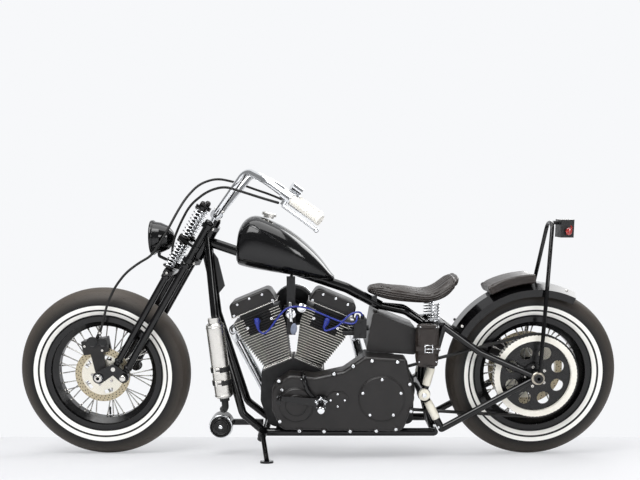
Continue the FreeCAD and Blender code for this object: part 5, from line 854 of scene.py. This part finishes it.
class MOTORCYCLE_OT_wiring(bpy.types.Operator):
    """Blue plug leads, coil terminals, and the key switch with its fob and start button"""
    bl_idname = "motorcycle.wiring"
    bl_label = "Ignition trim"

    def execute(self, context):
        home = MACHINE.inverted()
        front = home @ FRONT_CYLINDER @ Vector((-11, -102, 308))
        rear = home @ REAR_CYLINDER @ Vector((0, -102, 307))
        bm = bmesh.new()
        add_tube(bm, [front, front + Vector((8, -3, -14)), front + Vector((30, -8, -20)), (-140, -112, 562),
                      (-110, -106, 590), (-50, -104, 590), (20, -104, 560), (84, -104, 532), (140, -118, 524),
                      (147, -104, 560), (147, -91, 548)], 3.4)
        settle(bm, "front_plug_lead", MACHINE, "chassis", "blue")
        bm = bmesh.new()
        add_tube(bm, [rear, rear + Vector((3, -4, -12)), rear + Vector((20, -8, -6)),
                      rear + Vector((50, -6, 4)), (120, -108, 566), (164, -100, 572), (166, -91, 546)], 3.4)
        settle(bm, "rear_plug_lead", MACHINE, "chassis", "blue")
        bm = bmesh.new()
        for x in (147, 166):
            add_lathe(bm, [(8, 0), (8, 8), (6, 12), (4.4, 16), (3.7, 16)], moved(x, -90, 543))
        for z in (486, 530):
            add_bolt(bm, (157, -112, z), (0, 1, 0), 4.6, 4)
        settle(bm, "coil_terminals", MACHINE, "chassis", "plastic")
        bm = bmesh.new()
        add_lathe(bm, [(0, 2.4), (5, 2.4), (7, 3.4), (13, 3.4), (15, 2), (18.5, 1.4), (20, -2), (17.4, -2)],
                  facing(LEFT, -101, -88, 560))
        add_lathe(bm, [(0, 3), (9, 3), (11.5, 2), (13, 0), (16.5, 0), (17.5, -1), (17.5, -3), (12, -3)],
                  facing(LEFT, -60, -91, 583))
        add_box(bm, (-101, -97, 560), (2.6, 16, 8))
        add_tube(bm, [(-103, -89, 604), (-104, -91, 590), (-103, -92, 574), (-101, -92, 548), (-100, -91, 532)],
                 7)
        add_tube(bm, [(-106, -104, 558), (-101, -104, 563), (-96, -104, 558), (-97, -104, 540),
                      (-93, -104, 527)], 1.1, cyclic=True)
        settle(bm, "key_switch", MACHINE, "chassis", "chrome")
        bm = bmesh.new()
        add_lathe(bm, [(0, 3.4), (10, 3.2), (14, 2.2), (15, 0), (14, -2.2), (10, -3.2), (0, -3.4)],
                  facing(LEFT, -90, -105, 506) @ Matrix.Rotation(math.radians(-8), 4, "Z")
                  @ Matrix.Diagonal((0.82, 1.45, 1, 1)))
        settle(bm, "key_fob", MACHINE, "chassis", "fob")
        return {"FINISHED"}


CANISTER = MACHINE @ moved(-350, -128, 252) @ Matrix.Rotation(math.atan2(-31, 280), 4, "Y")


class MOTORCYCLE_OT_canister(bpy.types.Operator):
    """Straps, buckles, end bead and outlet elbow of the canister, and the horn's grille"""
    bl_idname = "motorcycle.canister"
    bl_label = "Canister and horn trim"

    def execute(self, context):
        bm = bmesh.new()
        for up in (50, 99):
            add_lathe(bm, [(33.2, 1), (36.8, 0.6), (37.2, 1.6), (37.2, 18.4), (36.8, 19.4), (33.2, 19)],
                      moved(0, 0, up))
            add_tube(bm, [(-12, -37.6, up + 10), (0, -39.6, up + 10), (14, -37.5, up + 9), (22, -33, up + 4)],
                     3.2)
        settle(bm, "canister_straps", CANISTER, "chassis", "plastic")
        bm = bmesh.new()
        for up in (60, 109):
            add_box(bm, (-6, -38.6, up), (15, 3, 24))
            add_box(bm, (-18, -34.8, up), (8, 4, 22))
        settle(bm, "strap_buckles", CANISTER, "chassis", "alloy", smooth=False, segments=2,
               width=1.0)
        bm = bmesh.new()
        for up in (6, 262):
            add_lathe(bm, [(33, 0), (34.4, 1.6), (34.4, 5), (33, 6.4)], moved(0, 0, up))
        add_lathe(bm, [(0, 5), (9, 5), (12, 3), (13, -3)], moved(0, 0, 281))
        settle(bm, "canister_beads", CANISTER, "chassis", "alloy")
        bm = bmesh.new()
        add_lathe(bm, [(15, -14), (18, -14), (18, 2), (15, 2)], Matrix())
        add_tube(bm, [(0, 0, 1), (0, 0, -22), (-2, 4, -42), (-14, 40, -58), (-20, 62, -60)], 13)
        settle(bm, "canister_elbow", CANISTER, "chassis", "rubber")
        bm = bmesh.new()
        for radius in (12, 20, 28, 36):
            add_lathe(bm, [(radius, 0), (radius + 1.2, 1.8), (radius + 3.4, 1.8), (radius + 4.6, 0)],
                      facing(LEFT, -370, -100, 128))
        settle(bm, "horn_grille", MACHINE, "chassis", "plastic")
        bm = bmesh.new()
        add_lathe(bm, [(40, -4), (44.6, -4), (45.4, -2), (44, 1.6), (41, 1.6)], facing(LEFT, -370, -92, 128))
        add_lathe(bm, [(0, 4.6), (5, 4.2), (8, 2.4), (9, 0)], facing(LEFT, -370, -100, 128))
        settle(bm, "horn_ring", MACHINE, "chassis", "chrome")
        return {"FINISHED"}


class MOTORCYCLE_OT_bars(bpy.types.Operator):
    """Clamp bolts, grip ribs and end rings of the handlebar, and the headlamp's ring"""
    bl_idname = "motorcycle.bars"
    bl_label = "Handlebar and headlamp trim"

    def execute(self, context):
        bm = bmesh.new()
        for side in (LEFT, RIGHT):
            for aft in (61, 87):
                add_bolt(bm, (aft, side * 29.8, 756 if aft == 61 else 754), (0, 0, -1), 4.4, 5)
        settle(bm, "bar_clamp_bolts", FORK, "steering", "alloy", smooth=False)
        ribs, rings = bmesh.new(), bmesh.new()
        for side in (LEFT, RIGHT):
            inner = Vector((190, side * 268, 944))
            tip = Vector((412, side * 350, 925))
            way = (tip - inner).normalized()
            turn = way.to_track_quat("Z", "Y").to_matrix().to_4x4()
            for index in range(11):
                at = tip - way * (16 + index * 9)
                add_lathe(ribs, [(16.8, 0), (18.1, 1.2), (18.1, 4.2), (16.8, 5.4)], Matrix.Translation(at)
                          @ turn, 28)
            add_lathe(rings, [(13, 0), (19.6, 0), (20.4, 1), (20.4, 4), (19.6, 5), (13, 5)],
                      Matrix.Translation(tip - way * 127) @ turn)
            add_lathe(rings, [(9, -0.4), (15.4, -0.4), (16.4, -1.8), (16.4, -4)], Matrix.Translation(tip)
                      @ turn)
        settle(ribs, "grip_ribs", FORK, "steering", "white")
        settle(rings, "grip_rings", FORK, "steering", "chrome")
        mouth = MACHINE @ moved(-626.6, 0, 838.1) @ Matrix.Rotation(math.radians(-90), 4, "Y")
        bm = bmesh.new()
        add_lathe(bm, [(57, -2), (60, 1.4), (63.6, 1.4), (65, -1.5), (65, -9), (63, -11)], Matrix(), 48)
        settle(bm, "headlamp_ring", mouth, "steering", "enamel")
        return {"FINISHED"}


class MOTORCYCLE_OT_pivot(bpy.types.Operator):
    """Cream sleeves, pivot caps and nuts of the rear frame, and the axle's washers"""
    bl_idname = "motorcycle.pivot"
    bl_label = "Swingarm trim"

    def execute(self, context):
        # A cream sleeve on each tube above and below the pivot, between two heights
        top, pivot, foot = Vector((462, 0, 520)), Vector((395, 0, 264)), Vector((466, 0, 128))
        bm, nuts = bmesh.new(), bmesh.new()
        for side in (LEFT, RIGHT):
            for start, end, first, last in ((top, pivot, 363, 296), (pivot, foot, 236, 168)):
                way = (end - start) / (end.z - start.z)
                low = start + way * (last - start.z) + Vector((0, side * 121, 0))
                high = start + way * (first - start.z) + Vector((0, side * 121, 0))
                length = (high - low).length
                turn = (high - low).to_track_quat("Z", "Y").to_matrix().to_4x4()
                add_lathe(bm, [(13, 0), (14.6, 1), (15.6, 6), (15.8, length / 2), (15.6, length - 6),
                               (14.6, length - 1), (13, length)], Matrix.Translation(low) @ turn)
            out = facing(side, 395, side * 146, 264)
            add_lathe(bm, [(0, 1.6), (11, 1.5), (14, 1), (19.5, 1), (21.5, 0), (22.6, -3), (22.6, -14),
                           (21.8, -14)], out)
            add_bolt(nuts, (395, side * 150, 264), (0, -side, 0), 9, 4)
            for x in (436, 452):
                add_bolt(nuts, (x, side * 134.4, 138 - (x - 452) * 0.4), (0, -side, 0), 5, 4)
        settle(bm, "cream_sleeves", MACHINE, "chassis", "cream")
        settle(nuts, "pivot_nuts", MACHINE, "chassis", "chrome", smooth=False)
        bm = bmesh.new()
        for side in (LEFT, RIGHT):
            add_lathe(bm, [(17.4, 0), (24, 0), (24.6, 1), (24.6, 3), (17.4, 3)],
                      facing(side, 0, side * 134.6, 0))
        settle(bm, "rear_axle_washers", REAR_WHEEL, "chassis", "steel")
        return {"FINISHED"}


# The stuffing: rounds of smoothing before it, its pressure, and how many frames it is given
SMOOTHINGS, STUFFING, STUFFING_FRAMES = 4, 4, 20


def swollen(node, name, cell_mm, slack_mm, cap_mm):
    """Copy of a plain solid, blown up a little like a stuffed cover."""
    mesh = NODES[node].data.copy()
    bm = bmesh.new()
    bm.from_mesh(mesh)
    bmesh.ops.remove_doubles(bm, verts=bm.verts, dist=0.00005)
    bmesh.ops.recalc_face_normals(bm, faces=bm.faces)
    bm.to_mesh(mesh)
    bm.free()
    piece = put_in_scene(name, mesh)
    cells = piece.modifiers.new("cells", "REMESH")
    cells.mode = "VOXEL"
    cells.voxel_size = cell_mm * MM
    apply_modifiers(piece)
    bm = bmesh.new()
    bm.from_mesh(piece.data)
    for _ in range(SMOOTHINGS):
        bmesh.ops.smooth_vert(bm, verts=bm.verts, factor=0.5, use_axis_x=True, use_axis_y=True, use_axis_z=True)
    bm.normal_update()
    for vert in bm.verts:
        vert.co -= vert.normal * slack_mm * MM
    bm.to_mesh(piece.data)
    bm.free()
    start = [vert.co.copy() for vert in piece.data.vertices]
    cloth = piece.modifiers.new("stuffing", "CLOTH")
    cloth.settings.use_pressure = True
    cloth.settings.uniform_pressure_force = STUFFING
    cloth.settings.quality = 4
    cloth.settings.effector_weights.gravity = 0
    cloth.point_cache.frame_start = 1
    cloth.point_cache.frame_end = STUFFING_FRAMES
    for number in range(1, STUFFING_FRAMES + 1):
        bpy.context.scene.frame_set(number)
    apply_modifiers(piece)
    bpy.context.scene.frame_set(1)
    for vert, before in zip(piece.data.vertices, start):
        step = vert.co - before
        if step.length > cap_mm * MM:
            vert.co = before + step.normalized() * cap_mm * MM
    return piece


def apply_modifiers(piece):
    """Put what the modifiers make into the mesh."""
    bpy.context.view_layer.update()
    depsgraph = bpy.context.evaluated_depsgraph_get()
    mesh = bpy.data.meshes.new_from_object(piece.evaluated_get(depsgraph))
    piece.modifiers.clear()
    piece.data = mesh


def upholster(piece, node, matrix, relief):
    """Sew the cover: push each point along its normal by what relief gives for its place in millimetres."""
    back = matrix.inverted()
    turn = back.to_3x3()
    finer = piece.modifiers.new("finer skin", "SUBSURF")
    finer.levels = finer.render_levels = 1
    apply_modifiers(piece)
    bm = bmesh.new()
    bm.from_mesh(piece.data)
    bm.normal_update()
    depths = {vert: relief(back @ vert.co, (turn @ vert.normal).normalized()) for vert in bm.verts}
    for vert, depth in depths.items():
        vert.co += vert.normal * depth * MM
    bm.to_mesh(piece.data)
    bm.free()
    piece.data.materials.clear()
    piece.data.materials.append(finish("leather"))
    piece.data.shade_smooth()
    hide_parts(node)
    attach(piece, "chassis")


def clip(value):
    """A value held between 0 and 1."""
    return min(max(value, 0), 1)


def valley(distance, width):
    """Soft groove: 1 on its line, 0 past its width."""
    share = clip(abs(distance) / width)
    return (1 - share) ** 2 * (1 + 2 * share)


# The seat is measured in this many steps from nose to tail. Its pleats end at a seam this many
# radians below the middle of its side
SEAT_SLICES, SKIRT = 24, -0.35


class MOTORCYCLE_OT_seat(bpy.types.Operator):
    """Solo seat: lengthwise pleats inside a border seam"""
    bl_idname = "motorcycle.seat"
    bl_label = "Solo seat"

    def execute(self, context):
        count = settings().pleats
        deep = settings().pleat_depth / MM
        piece = swollen("solo_seat", "seat_cover", 3.8, 3.4, 4)
        back = MACHINE.inverted()
        places = [back @ vert.co for vert in piece.data.vertices]
        nose, tail = min(place.x for place in places), max(place.x for place in places)
        slices = [[] for _ in range(SEAT_SLICES + 1)]
        for place in places:
            slices[round((place.x - nose) / (tail - nose) * SEAT_SLICES)].append(place)
        middles = [(min(p.z for p in part) * 0.6 + max(p.z for p in part) * 0.4) for part in slices]
        talls = [(max(p.z for p in part) - min(p.z for p in part)) * 0.6 for part in slices]
        halves = [max(abs(p.y) for p in part) for part in slices]

        def along(values, length):
            step = clip(length) * (SEAT_SLICES - 0.001)
            first = int(step)
            return values[first] + (values[first + 1] - values[first]) * (step - first)

        def relief(place, normal):
            length = (place.x - nose) / (tail - nose)
            rise = math.atan2((place.z - along(middles, length)) / along(talls, length),
                              abs(place.y) / along(halves, length))
            upper = clip((rise - SKIRT) / 0.12)
            inside = clip((0.945 - length) / 0.03) * clip((length - 0.02) / 0.03)
            line = (rise / (math.pi / count)) % 1
            pleat = valley(min(line, 1 - line), 0.42)
            border = valley(length - 0.955, 0.02) + valley(rise - SKIRT, 0.13)
            return -deep * (pleat * inside * upper + 0.8 * min(border, 1))

        upholster(piece, "solo_seat", MACHINE, relief)
        return {"FINISHED"}


class MOTORCYCLE_OT_pad(bpy.types.Operator):
    """Pillion pad: smooth crowned leather with a seam round its side and one across its top"""
    bl_idname = "motorcycle.pad"
    bl_label = "Pillion pad"

    def execute(self, context):
        def relief(place, normal):
            reach = math.hypot(place.x, place.z)
            angle = math.degrees(math.atan2(place.z, place.x))
            side = 1 - clip(abs(normal.y)) ** 2
            seam = valley(reach - 366, 8) * clip(1.2 - 2 * side)
            cross = valley(angle - 117, 1.3) * (reach > 360)
            return -1.6 * min(seam + cross, 1)

        piece = swollen("pillion_pad", "pad_cover", 3.6, 3.2, 3.4)
        upholster(piece, "pillion_pad", REAR_WHEEL, relief)
        return {"FINISHED"}


class MOTORCYCLE_OT_bag(bpy.types.Operator):
    """Tool bag: soft leather shell with a flap, straps, a buckle and rivets"""
    bl_idname = "motorcycle.bag"
    bl_label = "Tool bag"

    def execute(self, context):
        def relief(place, normal):
            outer = clip(-normal.y * 2)
            flap = valley(place.z - 426 - 8 * math.cos((place.x - 399) / 20), 8) * outer
            edge = valley(place.y + 146, 8) * (1 - outer)
            sag = 1.2 * math.sin(place.z / 19) * math.sin(place.x / 23) * outer
            return sag - 2.2 * flap - 1.8 * edge - 0.6

        piece = swollen("tool_bag", "bag_cover", 3.6, 2.6, 4)
        upholster(piece, "tool_bag", MACHINE, relief)
        bm = bmesh.new()
        add_box(bm, (400, -188, 446), (88, 3.4, 17))
        add_box(bm, (399, -187, 526), (70, 3, 10))
        settle(bm, "bag_straps", MACHINE, "chassis", "leather", smooth=False, segments=3,
               width=1.2)
        bm = bmesh.new()
        frame_points = ((388, 459), (388, 433), (416, 433), (416, 459))
        for (x, z), (next_x, next_z) in zip(frame_points, frame_points[1:] + frame_points[:1]):
            add_rod(bm, (x, -191.4, z), (next_x, -191.4, next_z), 1.9, 1.9, 12)
            bmesh.ops.create_uvsphere(bm, u_segments=12, v_segments=8, radius=2.2, matrix=moved(x, -191.4, z))
        add_rod(bm, (388, -192, 446), (424, -192, 446), 1.5, 1.5, 12)
        for x, z in ((370, 526), (428, 526), (432, 446), (440, 446), (368, 398), (430, 398)):
            add_bolt(bm, (x, -189.6, z), (0, 1, 0), 2.6, 1.8)
        settle(bm, "bag_buckles", MACHINE, "chassis", "chrome")
        return {"FINISHED"}


class MOTORCYCLE_OT_tail(bpy.types.Operator):
    """Tail lamp's red lenses and the fender's bolts"""
    bl_idname = "motorcycle.tail"
    bl_label = "Tail lamp and fender trim"

    def execute(self, context):
        low, high = (MACHINE.inverted() @ Vector(corner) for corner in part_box("tail_lamp"))
        back = max(low.x, high.x)
        middle = (low.z + high.z) / 2
        tall, wide = abs(high.z - low.z), abs(high.y - low.y)
        bm = bmesh.new()
        add_lathe(bm, [(0, 0), (9, -0.5), (17, -2), (23, -5), (26, -9), (26, -13)],
                  moved(back - 0.6, 0, middle) @ Matrix.Rotation(math.radians(90), 4, "Y")
                  @ Matrix.Diagonal(((tall - 14) / 52, (wide - 12) / 52, 1, 1)))
        for side in (LEFT, RIGHT):
            add_lathe(bm, [(0, 1.2), (10, 1), (12.6, 0), (12.6, -2)],
                      facing(side, back - 22, side * (wide / 2 + 1.4), middle - 10)
                      @ Matrix.Diagonal((0.9, 1.1, 1, 1)))
        settle(bm, "tail_lens", MACHINE, "chassis", "red")
        bm = bmesh.new()
        for side in (LEFT, RIGHT):
            for degrees in (72, 146):
                angle = math.radians(degrees)
                add_bolt(bm, (338 * math.cos(angle), side * 88, 338 * math.sin(angle)), (0, -side, 0), 5.5, 3)
        settle(bm, "fender_bolts", REAR_WHEEL, "chassis", "alloy", smooth=False)
        return {"FINISHED"}


class MOTORCYCLE_OT_pegs(bpy.types.Operator):
    """Peg hub rosettes, the guard strap over the primary and the air cleaner's ring"""
    bl_idname = "motorcycle.pegs"
    bl_label = "Peg and air cleaner trim"

    def execute(self, context):
        bm = bmesh.new()
        add_bolt_ring(bm, (11, -222.4, 252), 19, 5, 18, LEFT, 5, 5)
        add_lathe(bm, [(14.2, -4), (17, -4), (17, 1.6), (15.4, 3), (14.2, 3)], facing(LEFT, 11, -222, 252))
        add_lathe(bm, [(0, 2.4), (6, 2.2), (11, 1), (13.4, -1), (14.3, -4), (14.3, -8)],
                  facing(LEFT, 11, -330, 252))
        add_lathe(bm, [(0, 2.4), (6, 2), (8.6, 0), (9.4, -3)], facing(LEFT, -140, -223, 270))
        add_lathe(bm, [(80.2, -10), (82, -10), (82.6, -2), (80, 2.4), (72, 3.6), (58, 4.2), (58, 1), (74, 0)],
                  facing(RIGHT, -95, 156, 566), 48)
        settle(bm, "peg_rosettes", MACHINE, "chassis", "chrome")
        bm = bmesh.new()
        add_tube(bm, [(-56, -150, 352), (-54, -196, 350), (-50, -208, 334), (-42, -210, 306), (-30, -210, 284),
                      (-16, -206, 270)], 9)
        settle(bm, "guard_strap", MACHINE, "chassis", "enamel")
        return {"FINISHED"}


# Each lamp's name, place and width in metres, and power in watts. All of them point at the engine
SOFT_LAMPS = (("rear_fill", (2.2, 2.4, 2.8), 2.2, 70.0), ("overhead", (0.1, -0.4, 3.6), 3.0, 90.0),
              ("low_left", (2.4, -3.4, 1.2), 1.0, 30.0))
LAMPS_AIM = Vector((0, 0, 0.45))


class MOTORCYCLE_OT_stage(bpy.types.Operator):
    """Floor, backdrop, soft lamps and the photograph's camera"""
    bl_idname = "motorcycle.stage"
    bl_label = "Stage"

    def execute(self, context):
        scene = context.scene
        size = settings().floor_size
        for name, matrix, look in (("floor", moved(0, 0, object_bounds()[0][2]), "floor"),
                                   ("backdrop", facing(LEFT, 0, 9, 6), "wall")):
            bm = bmesh.new()
            bmesh.ops.create_grid(bm, x_segments=2, y_segments=2, size=size / 2, matrix=matrix)
            mesh = bpy.data.meshes.new(name)
            bm.to_mesh(mesh)
            bm.free()
            mesh.materials.append(finish(look))
            put_in_scene(name, mesh)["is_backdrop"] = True
        for name, place, width, power in (("key", (-1.4, -2.6, 3.4), 2.6, settings().key_light), *SOFT_LAMPS):
            light = bpy.data.lights.new(name, "AREA")
            light.shape = "SQUARE"
            light.size = width
            light.energy = power
            lamp = put_in_scene(name, light)
            lamp.location = place
            lamp.rotation_euler = (LAMPS_AIM - lamp.location).to_track_quat("-Z", "Y").to_euler()
        world = bpy.data.worlds.new("soft white room")
        world.use_nodes = True
        # The camera sees a white room, and the object is lit by a dimmer one
        dim = world.node_tree.nodes["Background"]
        dim.inputs["Color"].default_value = linear(STUDIO_WHITE)
        dim.inputs["Strength"].default_value = 0.3
        white = add_node(world, "Background", {"Color": linear(STUDIO_WHITE), "Strength": 1.0})
        camera_ray = add_node(world, "LightPath", output="Is Camera Ray")
        room = add_node(world, "MixShader", [camera_ray, dim.outputs[0], white])
        link(room, world.node_tree.nodes["World Output"], "Surface")
        scene.world = world
        lens = bpy.data.cameras.new("camera")
        lens.lens = 47.28
        lens.sensor_width = 36
        lens.shift_y = 0.164
        camera = put_in_scene("camera", lens)
        camera.location = (0.0074, -3.1924, 0.422)
        camera.rotation_euler = (math.radians(90), 0, 0)
        scene.camera = camera
        scene.view_settings.view_transform = "Standard"
        return {"FINISHED"}


OPERATORS = (MOTORCYCLE_OT_stage, MOTORCYCLE_OT_finishes, MOTORCYCLE_OT_wheels, MOTORCYCLE_OT_fork,
             MOTORCYCLE_OT_brakes, MOTORCYCLE_OT_covers, MOTORCYCLE_OT_heads, MOTORCYCLE_OT_wiring,
             MOTORCYCLE_OT_canister, MOTORCYCLE_OT_bars, MOTORCYCLE_OT_pivot, MOTORCYCLE_OT_seat,
             MOTORCYCLE_OT_pad, MOTORCYCLE_OT_bag, MOTORCYCLE_OT_tail, MOTORCYCLE_OT_pegs)


class MOTORCYCLE_PT_panel(bpy.types.Panel):
    """Every group of the motorcycle's scene, with its sizes and colours"""
    bl_label = "Motorcycle"
    bl_idname = "MOTORCYCLE_PT_panel"
    bl_space_type = "VIEW_3D"
    bl_region_type = "UI"
    bl_category = "Motorcycle"

    def draw(self, context):
        for operator in OPERATORS:
            self.layout.operator(operator.bl_idname)
        for name in MOTORCYCLE_PG_sizes.__annotations__:
            self.layout.prop(context.scene.motorcycle, name)


def register():
    for item in (MOTORCYCLE_PG_sizes, *OPERATORS, MOTORCYCLE_PT_panel):
        bpy.utils.register_class(item)
    bpy.types.Scene.motorcycle = PointerProperty(type=MOTORCYCLE_PG_sizes)


def unregister():
    del bpy.types.Scene.motorcycle
    for item in (MOTORCYCLE_PT_panel, *reversed(OPERATORS), MOTORCYCLE_PG_sizes):
        bpy.utils.unregister_class(item)


def main():
    register()
    for operator in OPERATORS:
        group, call = operator.bl_idname.split(".")
        getattr(getattr(bpy.ops, group), call)()


if __name__ == "__main__":
    main()
